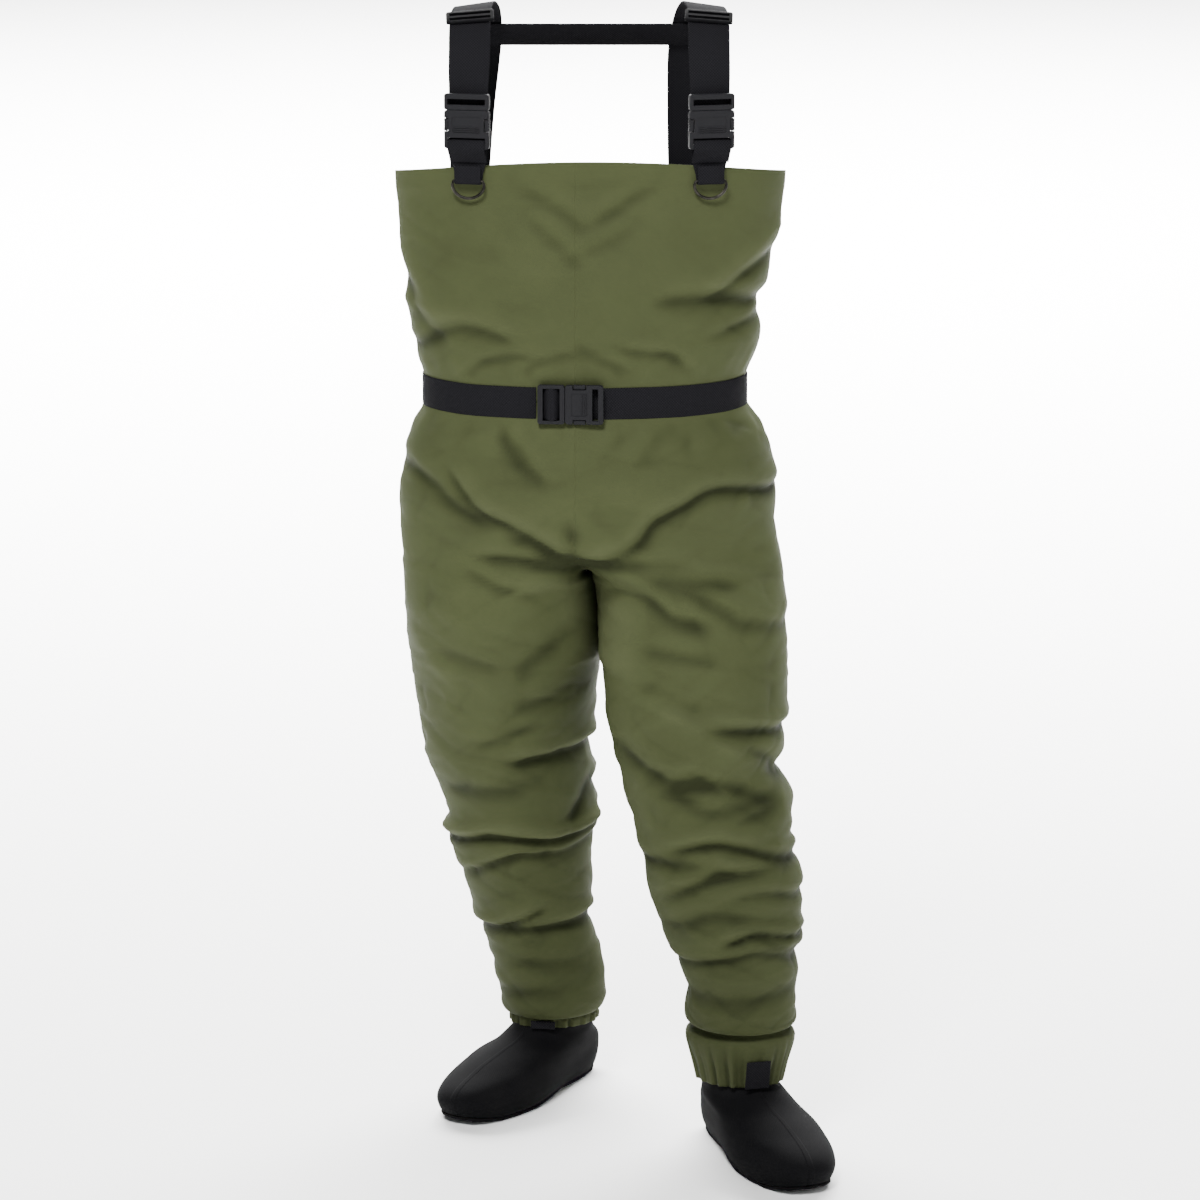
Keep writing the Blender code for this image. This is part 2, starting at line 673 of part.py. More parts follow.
def build_strap(side):
    places, turns = strap_rows(side)
    path = zip(rounded(places, STRAP_STEPS), [turn.normalized() for turn in rounded(turns, STRAP_STEPS)])
    ribbon(f"strap_{side}", list(path), STRAP_WIDTH, STRAP_THICKNESS, "webbing")


def build_adjuster(side):
    """A two-slot slide on the front of the strap, just below the shoulder."""
    places, turns = strap_rows(side)
    low, middle, high = rounded(places, 2)[6:9]
    across = rounded(turns, 2)[7].normalized()
    up = (high - low).normalized()
    normal = across.cross(up).normalized()
    if normal.y > 0:
        normal = -normal
        across = -across
    frame = Matrix((across, normal.cross(across), normal)).transposed().to_4x4()
    frame.translation = middle + normal * (STRAP_THICKNESS / 2 + 0.0006)
    half, depth, bar = STRAP_WIDTH / 2 + 0.004, 0.0035, 0.004
    body = place(f"strap_adjuster_{side}", block((-half, -0.011, 0), (half, 0.011, depth), 0.001),
                 "buckle_plastic", frame)
    for sign in (-1, 1):
        ends = sorted((sign * bar / 2, sign * (0.011 - bar)))
        combine(body, block((-STRAP_WIDTH / 2, ends[0], -0.001), (STRAP_WIDTH / 2, ends[1], depth + 0.001)),
                "DIFFERENCE")


def build_suspender(side):
    frame = panel_frame(TORSO["collar"], SIGN[side] * STRAP_OUT, TAB_BAR_Z, swell=HEM_STEP)
    out = build_tab(side, frame)
    build_ring(side, frame, out)
    mouth = frame @ Matrix.Translation((0.0, BUCKLE_MOUTH_UP, BUCKLE_OFF))
    build_buckle(f"strap_buckle_{side}", mouth @ Matrix.Rotation(math.radians(-90), 4, "Z"), 0.046)
    build_strap(side)
    build_adjuster(side)


def build_cross_strap():
    """A band between the two straps behind the shoulders, sewn to their inner faces."""
    places, _ = strap_rows("right")
    before, here, after = places[CROSS_ROW - 1], places[CROSS_ROW], places[CROSS_ROW + 1]
    along = after - before
    along.x = 0.0
    along.normalize()
    inwards = along.cross(Vector((1.0, 0.0, 0.0)))
    if inwards.y > 0:
        inwards = -inwards
    middle = here + inwards * (STRAP_THICKNESS + 0.0024)
    far = STRAP_WIDTH / 2 - 0.006
    right_end = here.x + far
    left_end = strap_rows("left")[0][CROSS_ROW].x - far
    path = []
    for share in (0.0, 0.25, 0.5, 0.75, 1.0):
        path.append((Vector((left_end + (right_end - left_end) * share, middle.y, middle.z)), along))
    ribbon("cross_strap", path, CROSS_WIDTH, STRAP_THICKNESS, "webbing")


def build_guard_tab(side):
    """The short webbing tab on the guard's hem, turned in from the toe towards the front."""
    neck = SOCK[-1]
    rows = GUARDS[side]
    front = math.pi + math.radians(GUARD_TAB_TURN[side])
    step = math.radians(8.0)
    top = GuardRow(*(a + (b - a) * GUARD_TAB_TOP[side] for a, b in zip(rows[-3], rows[-2])))
    path = []
    for row in (top, rows[-2], rows[-1]):
        loop = neck._replace(front_z=row.front_z, back_z=row.back_z)
        off = row.off + GATHER + SEAT_GAP + TAB_THICKNESS / 2
        across = sock_point(side, loop, front + step, off) - sock_point(side, loop, front - step, off)
        path.append((sock_point(side, loop, front, off), across.normalized()))
    ribbon(f"guard_tab_{side}", path, GUARD_TAB_WIDTH, TAB_THICKNESS, "webbing")


build_shell()
build_belt()
build_cross_strap()
for each_side in SIDES:
    build_sock(each_side)
    build_sole(each_side)
    build_guard(each_side)
    build_guard_tab(each_side)
    build_suspender(each_side)
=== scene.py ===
"""Looks of the stocking-foot chest waders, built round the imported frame. Metres, +Z up, the front faces -Y.
Left and right are as seen from the front, so the left side lies at -X."""

import math
from collections import namedtuple

import bmesh
import bpy
import numpy as np
from mathutils import Matrix, Vector, noise


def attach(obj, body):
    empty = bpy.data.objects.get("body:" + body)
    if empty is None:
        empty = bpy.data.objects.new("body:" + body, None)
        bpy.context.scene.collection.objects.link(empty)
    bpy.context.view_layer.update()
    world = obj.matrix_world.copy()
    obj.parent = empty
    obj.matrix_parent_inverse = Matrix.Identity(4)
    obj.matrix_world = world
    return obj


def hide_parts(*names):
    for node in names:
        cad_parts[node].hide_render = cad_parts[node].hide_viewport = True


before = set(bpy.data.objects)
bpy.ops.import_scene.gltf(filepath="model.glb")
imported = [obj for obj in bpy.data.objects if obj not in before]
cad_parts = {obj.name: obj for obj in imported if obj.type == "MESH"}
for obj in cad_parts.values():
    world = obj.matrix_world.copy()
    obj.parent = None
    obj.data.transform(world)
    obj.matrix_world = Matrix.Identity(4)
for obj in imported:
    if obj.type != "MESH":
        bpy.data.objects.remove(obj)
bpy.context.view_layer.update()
bpy.ops.object.select_all(action="DESELECT")


# The studio: a wide pale floor with a lamp of its own at the back, one soft lamp high on the left, a weaker
# one on the right and a third behind, with a long lens in front that looks slightly down.
BODY_MIDDLE = Vector((-0.0303, 0.0650, 0.0))
VIEW_TARGET = BODY_MIDDLE + Vector((0.0124, -0.0562, 0.65))
VIEW_DISTANCE = 6.0
VIEW_DROP = math.radians(11.5)
VIEW_HEIGHT = 1.4286
FILM_WIDTH = 36.0
FLOOR_SIZE = 90.0
FLOOR_COLOUR = (0.90, 0.90, 0.89, 1.0)
FLOOR_ROUGHNESS = 0.75
FLOOR_DROP = 0.0004
SKY_COLOUR = (0.95, 0.97, 1.0, 1.0)
SKY_STRENGTH = 0.30
Lamp = namedtuple("Lamp", "place aim size power")
LAMPS = {
    "key": Lamp((-0.7, -2.4, 3.8), (0.0, 0.0, 0.9), 1.0, 235.0),
    "fill": Lamp((2.6, -3.0, 1.7), (0.0, 0.0, 0.7), 2.4, 45.0),
    "rim": Lamp((0.8, 3.2, 3.0), (0.0, 0.0, 0.7), 1.8, 70.0),
    "floor": Lamp((0.0, 9.0, 6.0), (0.0, 10.0, 0.0), 10.0, 13000.0),
}


def new_material(name):
    """A new material with its node tree and its surface shader."""
    made = bpy.data.materials.new(name)
    made.use_nodes = True
    return made, made.node_tree, made.node_tree.nodes["Principled BSDF"]


def aim_at(thing, target):
    """Turns a lamp or the camera to look at a place."""
    thing.rotation_euler = (Vector(target) - thing.location).to_track_quat("-Z", "Y").to_euler()


view_line = Vector((0.0, -math.cos(VIEW_DROP), math.sin(VIEW_DROP)))
bpy.ops.object.camera_add(location=VIEW_TARGET + view_line * VIEW_DISTANCE)
camera = bpy.context.object
camera.data.sensor_width = FILM_WIDTH
camera.data.lens = FILM_WIDTH * VIEW_DISTANCE / VIEW_HEIGHT
camera.data.clip_end = FLOOR_SIZE
aim_at(camera, VIEW_TARGET)
bpy.context.scene.camera = camera

for lamp_name, lamp in LAMPS.items():
    bpy.ops.object.light_add(type="AREA", location=lamp.place)
    light = bpy.context.object
    light.name = f"{lamp_name}_lamp"
    light.data.size = lamp.size
    light.data.energy = lamp.power
    aim_at(light, lamp.aim)

sky = bpy.data.worlds.new("studio")
sky.use_nodes = True
sky_light = sky.node_tree.nodes["Background"]
sky_light.inputs["Color"].default_value = SKY_COLOUR
sky_light.inputs["Strength"].default_value = SKY_STRENGTH
bpy.context.scene.world = sky

bpy.ops.mesh.primitive_plane_add(size=FLOOR_SIZE, location=(0.0, 0.0, -FLOOR_DROP))
floor = bpy.context.object
floor.name = "floor"
floor_material, _, floor_shader = new_material("pale_floor")
floor_shader.inputs["Base Color"].default_value = FLOOR_COLOUR
floor_shader.inputs["Roughness"].default_value = FLOOR_ROUGHNESS
floor.data.materials.append(floor_material)


# The shell is the waders' upper: coated olive nylon cut as bib, seat and two legs, sewn with taped seams into
# one wall. Its sections are the solid's own, rounded here and pressed with the folds that the worn cloth
# keeps.
SHELL_WALL = 0.0012
HEM_DEPTH = 0.024
HEM_STEP = 0.0012
HEM_FREEDOM = 0.3
FORK_OFFSET = -0.008
FORK_DIP = 0.022
ARCH_SPREAD = 0.62
ARCH_FALL = 0.40
STRIDE = {"left": 0.135, "right": -0.118}
ANKLE_Z = 0.10
TORSO_SIDES = 36
CROTCH_POINTS = 9
TORSO_GIRTH = 1.15
LEG_RADIUS = 0.10
SIDES = ("left", "right")
SIGN = {"left": -1.0, "right": 1.0}

TorsoRow = namedtuple("TorsoRow", "front_z side_z back_z left right front back flat pinch")
TORSO = {
    "fork": TorsoRow(0.715, 0.694, 0.700, 0.224, 0.230, 0.128, 0.150, 2.2, 0.50),
    "crease": TorsoRow(0.757, 0.752, 0.750, 0.228, 0.220, 0.145, 0.163, 2.2, 0.50),
    "hip": TorsoRow(0.778, 0.775, 0.772, 0.229, 0.227, 0.150, 0.165, 2.2, 0.50),
    "seat": TorsoRow(0.826, 0.826, 0.826, 0.221, 0.218, 0.146, 0.156, 2.2, 0.50),
    "gather": TorsoRow(0.858, 0.858, 0.858, 0.213, 0.208, 0.139, 0.142, 2.2, 0.50),
    "waist_low": TorsoRow(0.879, 0.879, 0.879, 0.197, 0.186, 0.127, 0.128, 2.2, 0.50),
    "waist": TorsoRow(0.898, 0.898, 0.898, 0.197, 0.186, 0.127, 0.128, 2.2, 0.50),
    "waist_high": TorsoRow(0.917, 0.917, 0.917, 0.197, 0.186, 0.127, 0.128, 2.2, 0.50),
    "blouse": TorsoRow(0.943, 0.943, 0.943, 0.209, 0.198, 0.136, 0.137, 2.2, 0.50),
    "roll": TorsoRow(0.972, 0.972, 0.972, 0.211, 0.207, 0.138, 0.141, 2.3, 0.50),
    "notch": TorsoRow(1.002, 1.002, 1.002, 0.219, 0.194, 0.133, 0.139, 2.4, 0.52),
    "rib": TorsoRow(1.033, 1.031, 1.024, 0.218, 0.213, 0.128, 0.134, 2.7, 0.55),
    "chest": TorsoRow(1.090, 1.082, 1.056, 0.226, 0.222, 0.114, 0.122, 3.2, 0.62),
    "bib": TorsoRow(1.138, 1.118, 1.076, 0.229, 0.230, 0.100, 0.121, 4.0, 0.70),
    "collar": TorsoRow(1.178, 1.157, 1.106, 0.230, 0.232, 0.100, 0.121, 4.0, 0.70),
}
HELD_BY_BELT = ("waist_low", "waist", "waist_high")
ROW_GAP = 0.045

LegRow = namedtuple("LegRow", "outer_z inner_z outer inner depth")
LEGS = {
    "left": (
        LegRow(0.640, 0.652, 0.2222, -0.0085, 0.132),
        LegRow(0.575, 0.575, 0.2200, -0.0165, 0.130),
        LegRow(0.510, 0.500, 0.2130, -0.0100, 0.122),
        LegRow(0.472, 0.470, 0.2060, -0.0080, 0.116),
        LegRow(0.440, 0.448, 0.2045, 0.0000, 0.110),
        LegRow(0.402, 0.398, 0.1940, -0.0115, 0.110),
        LegRow(0.360, 0.366, 0.1700, -0.0085, 0.103),
        LegRow(0.326, 0.342, 0.1796, -0.0164, 0.107),
        LegRow(0.310, 0.323, 0.1710, -0.0040, 0.099),
        LegRow(0.282, 0.290, 0.1610, -0.0030, 0.095),
        LegRow(0.238, 0.258, 0.1480, -0.0070, 0.090),
        LegRow(0.218, 0.226, 0.1385, 0.0005, 0.082),
        LegRow(0.195, 0.200, 0.1310, -0.0050, 0.080),
        LegRow(0.158, 0.162, 0.1200, -0.0184, 0.080),
        LegRow(0.126, 0.128, 0.1130, -0.0213, 0.080),
        LegRow(0.102, 0.106, 0.1120, -0.0215, 0.079),
        LegRow(0.093, 0.096, 0.1070, -0.0155, 0.0720),
        LegRow(0.096, 0.098, 0.1025, -0.0105, 0.0670),
    ),
    "right": (
        LegRow(0.650, 0.655, 0.2350, 0.0105, 0.134),
        LegRow(0.585, 0.580, 0.2376, 0.0135, 0.132),
        LegRow(0.526, 0.515, 0.2376, 0.0175, 0.124),
        LegRow(0.472, 0.470, 0.2297, 0.0273, 0.116),
        LegRow(0.456, 0.454, 0.2190, 0.0310, 0.110),
        LegRow(0.424, 0.430, 0.2475, 0.0375, 0.112),
        LegRow(0.386, 0.390, 0.2415, 0.0510, 0.106),
        LegRow(0.366, 0.366, 0.2410, 0.0575, 0.103),
        LegRow(0.330, 0.345, 0.2580, 0.0600, 0.106),
        LegRow(0.290, 0.300, 0.2495, 0.0730, 0.098),
        LegRow(0.260, 0.262, 0.2610, 0.0850, 0.099),
        LegRow(0.234, 0.238, 0.2465, 0.0960, 0.088),
        LegRow(0.216, 0.220, 0.2520, 0.1045, 0.088),
        LegRow(0.192, 0.200, 0.2480, 0.1150, 0.082),
        LegRow(0.172, 0.176, 0.2475, 0.1135, 0.082),
        LegRow(0.157, 0.158, 0.2505, 0.1120, 0.083),
        LegRow(0.149, 0.150, 0.2465, 0.1160, 0.078),
        LegRow(0.152, 0.153, 0.2400, 0.1230, 0.0705),
    ),
}
TUCKED_ROWS = 2

# The main creases, each a trough with a soft roll on its upper side, from its left end to its right: where it
# lies, its width and depth in millimetres, the roll's share of the depth, and its path as millimetres right
# of the body's middle and up from the floor. A depth below nought is a ridge.
Crease = namedtuple("Crease", "limb width depth roll path")
FRONT_CREASES = (
    Crease("body", 10, 2.8, 0.4, ((12, 1109), (28, 1119), (55, 1137), (77, 1153), (83, 1166))),
    Crease("body", 10, 2.2, 0.4, ((-98, 1166), (-94, 1159), (-65, 1138), (-30, 1118), (-14, 1102))),
    Crease("body", 7, 1.6, 0.4, ((-14, 1149), (8, 1151), (28, 1151))),
    Crease("body", 10, 1.8, 0.5, ((-7, 1071), (22, 1084), (44, 1097))),
    Crease("body", 10, 2.0, 0.4, ((-65, 1105), (-41, 1085), (-19, 1063))),
    Crease("body", 11, 4.5, 0.5, ((-240, 1060), (-214, 1025), (-199, 991), (-183, 977))),
    Crease("body", 12, -4.0, 0.0, ((-240, 1012), (-183, 1001), (-161, 994))),
    Crease("body", 10, 4.5, 0.5, ((-235, 938), (-198, 959), (-147, 983), (-101, 970))),
    Crease("body", 20, 1.0, 0.0, ((-208, 1067), (-168, 1063), (-119, 1062))),
    Crease("body", 12, -4.5, 0.0, ((149, 1036), (192, 1070), (220, 1092), (245, 1105))),
    Crease("body", 10, 5.0, 0.3, ((154, 1024), (188, 1046), (220, 1064), (245, 1075))),
    Crease("body", 13, 5.5, 0.4, ((93, 1015), (149, 1015), (200, 1008), (240, 1002))),
    Crease("body", 8, 4.0, 0.6, ((159, 976), (186, 985), (206, 991), (235, 995))),
    Crease("body", 8, 4.0, 0.6, ((46, 960), (55, 957), (94, 952), (113, 932), (119, 922))),
    Crease("body", 8, 3.6, 0.6, ((-148, 915), (-144, 920), (-124, 942), (-91, 951), (-75, 950))),
    Crease("body", 8, 2.5, 0.5, ((-7, 963), (22, 945), (37, 936))),
    Crease("body", 8, 2.5, 0.5, ((-70, 935), (-51, 948), (-26, 953))),
    Crease("body", 9, 3.5, 0.4, ((-109, 887), (-106, 878), (-97, 847), (-80, 824))),
    Crease("body", 9, 3.0, 0.5, ((-87, 851), (-75, 833), (-63, 815))),
    Crease("body", 9, 2.0, 0.5, ((111, 882), (113, 872), (116, 849))),
    Crease("body", 9, 3.2, 0.4, ((125, 885), (134, 882), (148, 874), (175, 864))),
    Crease("body", 12, 1.6, 0.4, ((61, 822), (78, 856), (105, 876))),
    Crease("body", 10, 1.2, 0.4, ((22, 840), (37, 857), (56, 869))),
    Crease("body", 11, 4.5, 0.4, ((-240, 822), (-192, 800), (-157, 770), (-128, 755))),
    Crease("body", 10, 7.5, 0.45, ((-158, 801), (-150, 789), (-125, 765), (-87, 746), (-56, 728))),
    Crease("body", 10, 4.5, 0.4, ((-83, 731), (-39, 713), (-25, 712))),
    Crease("body", 11, 7.5, 0.45,
           ((20, 709), (54, 724), (78, 754), (113, 774), (151, 792), (220, 782), (250, 776))),
    Crease("body", 9, 4.0, 0.4, ((23, 699), (65, 706), (106, 705))),
    Crease("body", 12, 10.0, 0.3, ((-44, 718), (-16, 704), (14, 706))),
    Crease("body", 12, 6.0, 0.0, ((-22, 742), (-19, 722), (-14, 700))),
    Crease("body", 8, 4.0, 0.5, ((-62, 700), (-36, 694), (-12, 690))),
    Crease("right", 13, 4.0, 0.5, ((75, 685), (127, 685), (165, 680))),
    Crease("right", 10, 4.2, 0.4, ((20, 671), (61, 665), (99, 643), (127, 638))),
    Crease("right", 11, 3.2, 0.5, ((134, 663), (160, 650), (183, 636), (240, 620))),
    Crease("right", 12, 1.8, 0.3, ((55, 606), (91, 602), (134, 597))),
    Crease("right", 12, 1.8, 0.3, ((65, 566), (96, 552), (127, 539))),
    Crease("left", 9, 5.0, 0.6, ((-119, 709), (-66, 707), (-39, 699))),
    Crease("left", 9, 3.5, 0.5, ((-133, 689), (-101, 673), (-74, 669))),
    Crease("left", 10, -3.5, 0.0, ((-81, 668), (-39, 682), (-18, 676))),
    Crease("left", 14, 3.2, 0.3, ((-78, 564), (-47, 594), (-19, 611))),
    Crease("left", 13, 3.2, 0.3, ((-82, 513), (-47, 528), (-19, 542))),
    Crease("left", 11, 2.0, 0.3, ((-155, 579), (-136, 574), (-116, 569))),
    Crease("left", 12, -2.5, 0.0, ((-206, 598), (-184, 571), (-166, 550))),
    Crease("left", 11, 7.0, 0.7, ((-81, 442), (-48, 447), (-20, 451), (35, 453))),
    Crease("left", 10, 3.0, 0.4, ((-126, 466), (-98, 478), (-70, 487))),
    Crease("left", 14, 6.0, 0.2, ((-21, 351), (-10, 374), (0, 398))),
    Crease("left", 9, 8.0, 0.9, ((-215, 312), (-150, 333), (-113, 341), (-49, 334), (-6, 337), (40, 350))),
    Crease("left", 8, 5.0, 0.7, ((-144, 287), (-99, 313), (-60, 317), (-21, 318), (35, 335))),
    Crease("left", 9, 7.0, 0.8, ((-175, 204), (-120, 211), (-97, 220), (-68, 234))),
    Crease("left", 9, 6.0, 0.8, ((-82, 213), (-50, 217), (-17, 221), (30, 227))),
    Crease("left", 10, 3.0, 0.4, ((-79, 166), (-49, 169), (-21, 169))),
    Crease("left", 14, 3.0, 0.3, ((-165, 398), (-124, 399), (-88, 405))),
    Crease("left", 12, 3.0, 0.4, ((-111, 125), (-80, 129), (-39, 132))),
    Crease("right", 12, 5.0, 0.5, ((42, 480), (71, 463), (103, 454), (130, 462))),
    Crease("right", 10, 6.0, 0.7, ((149, 514), (185, 512), (232, 503), (262, 499))),
    Crease("right", 12, -4.0, 0.0, ((91, 537), (141, 510), (169, 489))),
    Crease("right", 10, 4.5, 0.5, ((200, 482), (212, 474), (224, 450), (260, 436))),
    Crease("right", 10, 4.0, 0.5, ((103, 443), (138, 451), (177, 445), (213, 429))),
    Crease("right", 10, 3.0, 0.3, ((110, 432), (134, 422), (169, 422), (209, 430))),
    Crease("right", 7, 3.0, 0.4, ((190, 411), (200, 413), (212, 416))),
    Crease("right", 9, 7.0, 0.8, ((107, 371), (142, 380), (177, 376), (209, 365), (250, 353), (278, 347))),
    Crease("right", 8, 3.0, 0.4, ((201, 381), (220, 377), (239, 373))),
    Crease("right", 10, 5.0, 0.5, ((58, 350), (111, 355), (153, 352))),
    Crease("right", 9, 6.0, 0.7, ((99, 316), (130, 334), (161, 346), (197, 348))),
    Crease("right", 8, 4.5, 0.6, ((169, 315), (201, 322), (252, 310), (285, 303))),
    Crease("right", 11, 4.0, 0.5, ((101, 277), (142, 296), (181, 294), (225, 285), (258, 275), (288, 270))),
    Crease("right", 8, 7.0, 0.8, ((169, 263), (193, 274), (246, 263), (285, 256))),
    Crease("right", 7, 4.0, 0.5, ((217, 260), (232, 252), (252, 244))),
    Crease("right", 7, 4.0, 0.6, ((80, 226), (162, 243), (201, 251), (250, 235), (280, 228))),
    Crease("right", 12, 3.0, 0.5, ((119, 193), (151, 190), (190, 192), (240, 199))),
)
BACK_CREASES = (
    Crease("body", 14, 4.0, 0.4, ((-150, 1040), (-95, 1012), (-40, 990))),
    Crease("body", 14, 4.0, 0.4, ((40, 986), (95, 1006), (150, 1038))),
    Crease("body", 9, 5.0, 0.8, ((-175, 958), (-120, 948), (-60, 955), (-10, 950))),
    Crease("body", 9, 5.0, 0.8, ((20, 944), (80, 952), (140, 946), (180, 960))),
    Crease("body", 11, 5.0, 0.6, ((-200, 838), (-140, 812), (-80, 800))),
    Crease("body", 11, 5.0, 0.6, ((70, 806), (130, 815), (195, 840))),
    Crease("body", 12, 8.0, 0.8, ((-205, 742), (-150, 716), (-80, 702), (-20, 716))),
    Crease("body", 12, 8.0, 0.8, ((10, 714), (70, 704), (140, 716), (205, 738))),
    Crease("left", 11, 4.0, 0.5, ((-190, 640), (-130, 620), (-60, 628))),
    Crease("right", 11, 4.0, 0.5, ((50, 622), (120, 616), (195, 640))),
    Crease("left", 11, 7.0, 0.8, ((-190, 452), (-130, 436), (-70, 440), (-10, 456))),
    Crease("left", 10, 7.0, 0.8, ((-172, 402), (-120, 394), (-60, 402), (5, 396))),
    Crease("left", 9, 6.0, 0.8, ((-165, 352), (-110, 358), (-50, 346), (5, 356))),
    Crease("left", 9, 6.0, 0.7, ((-150, 282), (-90, 296), (-30, 284))),
    Crease("left", 9, 6.0, 0.8, ((-135, 214), (-80, 226), (-5, 214))),
    Crease("left", 9, 4.0, 0.6, ((-115, 158), (-60, 168), (5, 160))),
    Crease("right", 11, 7.0, 0.8, ((45, 452), (110, 438), (170, 442), (225, 458))),
    Crease("right", 10, 7.0, 0.8, ((60, 398), (120, 404), (180, 392), (235, 402))),
    Crease("right", 9, 6.0, 0.8, ((75, 344), (130, 352), (190, 342), (245, 350))),
    Crease("right", 9, 6.0, 0.7, ((95, 288), (150, 296), (235, 282))),
    Crease("right", 9, 6.0, 0.8, ((110, 236), (170, 228), (240, 238))),
    Crease("right", 9, 3.0, 0.5, ((125, 188), (180, 194), (238, 186))),
)
CREASE_FADE = 0.030
CREASE_FADE_RUN = 0.039
CREASE_REACH = 0.075
CREASE_CURVE_STEPS = 6
CREASE_FACING = (-0.30, 0.20)
CREASE_LEAST = 0.01
LIMB_LEAST = -0.02
SHARP_DEPTH = 13.0
SHARP_MOST = 0.55
SHARP_WIDTH = 0.32
ROLL_OUT = 1.35
ROLL_WIDTH = 0.85
LEG_FOLDS = 1.12
WRINKLE_WEIGHT = ((0.10, 0.0012), (0.30, 0.0014), (0.60, 0.0012), (0.85, 0.0009), (1.00, 0.0007),
                  (1.20, 0.0004))
Wrinkle = namedtuple("Wrinkle", "length height slant start share")
WRINKLES = (
    Wrinkle(0.130, 0.046, 0.1, 7.0, 1.0),
    Wrinkle(0.120, 0.040, 0.4, 19.0, -1.0),
    Wrinkle(0.110, 0.036, -0.5, 31.0, -0.8),
)
WRINKLE_EDGE = 0.25
BILLOW_SIZE = 0.11
BILLOW_DEPTH = 0.0022
GATHER_DEPTH = 0.0026
GATHER_REACH = 0.030
WIDE_PLEATS = 23
FINE_PLEATS = 41
FOLD_SCALE = 0.006
THIGHS_MEET = (0.560, 0.580)
THIGH_FACING = (0.5, 0.9)
THIGH_PRESS = 0.005
SEAM_X = -0.0164
SEAM_HALF = 0.0011

# The cloth's colours: the plain olive, a darker olive painted as shade into the fold troughs and a paler
# olive painted as highlight onto the ridges.
OLIVE = (0.0470, 0.0545, 0.0235, 1.0)
OLIVE_PAINTED_SHADE = (0.0195, 0.0228, 0.0099, 1.0)
OLIVE_PAINTED_HIGHLIGHT = (0.0615, 0.0700, 0.0325, 1.0)
# Painted shade: below the upper height the cloth is painted darker towards the feet, down to the given share
# of its colour at the lower height.
PAINTED_SHADE_HEIGHTS = (0.12, 0.62)
PAINTED_SHADE_TONE = 0.68
CLOTH_THREAD = 0.0012
CRINKLE_STRETCH = (1.0, 1.0, 2.2)
LINING_COLOUR = (0.062, 0.066, 0.050)
LINING_INSET = 0.011
NOISE_RANGE = (0.3, 0.7)


def torso_point(row, angle, swell=0.0):
    """A point of a torso section. Angle -90 degrees is the front middle and 0 the right side."""
    across, along = math.cos(angle), math.sin(angle)
    reach = (row.right if across > 0 else row.left) + swell
    depth = (row.back if along > 0 else row.front) + swell
    bulge = max(0.0, 1 - abs(across) ** row.flat) ** row.pinch
    far_z = row.back_z if along > 0 else row.front_z
    height = row.side_z + (far_z - row.side_z) * abs(along) ** 1.5
    return Vector((reach * across, math.copysign(depth * bulge, along), height))


def hem_rows():
    """The collar's doubled hem, as a step in the wall: its foot, the step and its top."""
    bib, collar = TORSO["bib"], TORSO["collar"]

    def blend(first, second, share):
        return TorsoRow(*(a + (b - a) * share for a, b in zip(first, second)))

    foot = blend(collar, bib, HEM_DEPTH / (collar.front_z - bib.front_z))
    step = blend(collar, foot, 1 - HEM_STEP / HEM_DEPTH)
    return ((foot, 0.0), (step, HEM_STEP), (collar, HEM_STEP))


def leg_middle_y(side, z):
    """How far the leg's middle stands behind the body's, upright over the heel and striding at the hip."""
    fork_z = TORSO["fork"].side_z
    share = min(1.0, max(0.0, (fork_z - z) / (fork_z - ANKLE_Z)))
    return STRIDE[side] * math.sin(share * math.pi / 2)


def leg_point(side, row, angle):
    """A point of a leg section. Angle -90 degrees is the front and 0 the outer side."""
    across, along = math.cos(angle), math.sin(angle)
    middle, half = (row.outer + row.inner) / 2, (row.outer - row.inner) / 2
    z = (row.outer_z + row.inner_z) / 2 + (row.outer_z - row.inner_z) / 2 * across
    middle_y = leg_middle_y(side, (row.outer_z + row.inner_z) / 2)
    return Vector((SIGN[side] * (middle + half * across), middle_y + row.depth * along, z))


def filled_in(sections, height):
    """Sections as pairs of numbers and freedom, with one more halfway wherever two lie far apart."""
    made = [sections[0]]
    for numbers, free in sections[1:]:
        before, held = made[-1]
        if abs(height(numbers) - height(before)) > ROW_GAP:
            made.append((tuple((a + b) / 2 for a, b in zip(before, numbers)), (held + free) / 2))
        made.append((tuple(numbers), free))
    return made


def new_piece(name, points, faces, spread):
    """A piece from points and faces, with cloth coordinates at each corner of its faces."""
    mesh = bpy.data.meshes.new(name)
    mesh.from_pydata([tuple(point) for point in points], [], faces)
    mesh.uv_layers.new(name="cloth").data.foreach_set("uv", np.array(spread, np.float32).ravel())
    made = bpy.data.objects.new(name, mesh)
    bpy.context.collection.objects.link(made)
    return made


def add_band(faces, spread, lower, upper, around, heights, turned=False):
    """Adds the quads between two closed rings of point numbers, with cloth coordinates at their corners."""
    low, high = heights
    for k in range(len(lower)):
        after = (k + 1) % len(lower)
        quad = [lower[k], lower[after], upper[after], upper[k]]
        cloth = [(around[k], low), (around[k + 1], low), (around[k + 1], high), (around[k], high)]
        faces.append(quad[::-1] if turned else quad)
        spread.append(cloth[::-1] if turned else cloth)


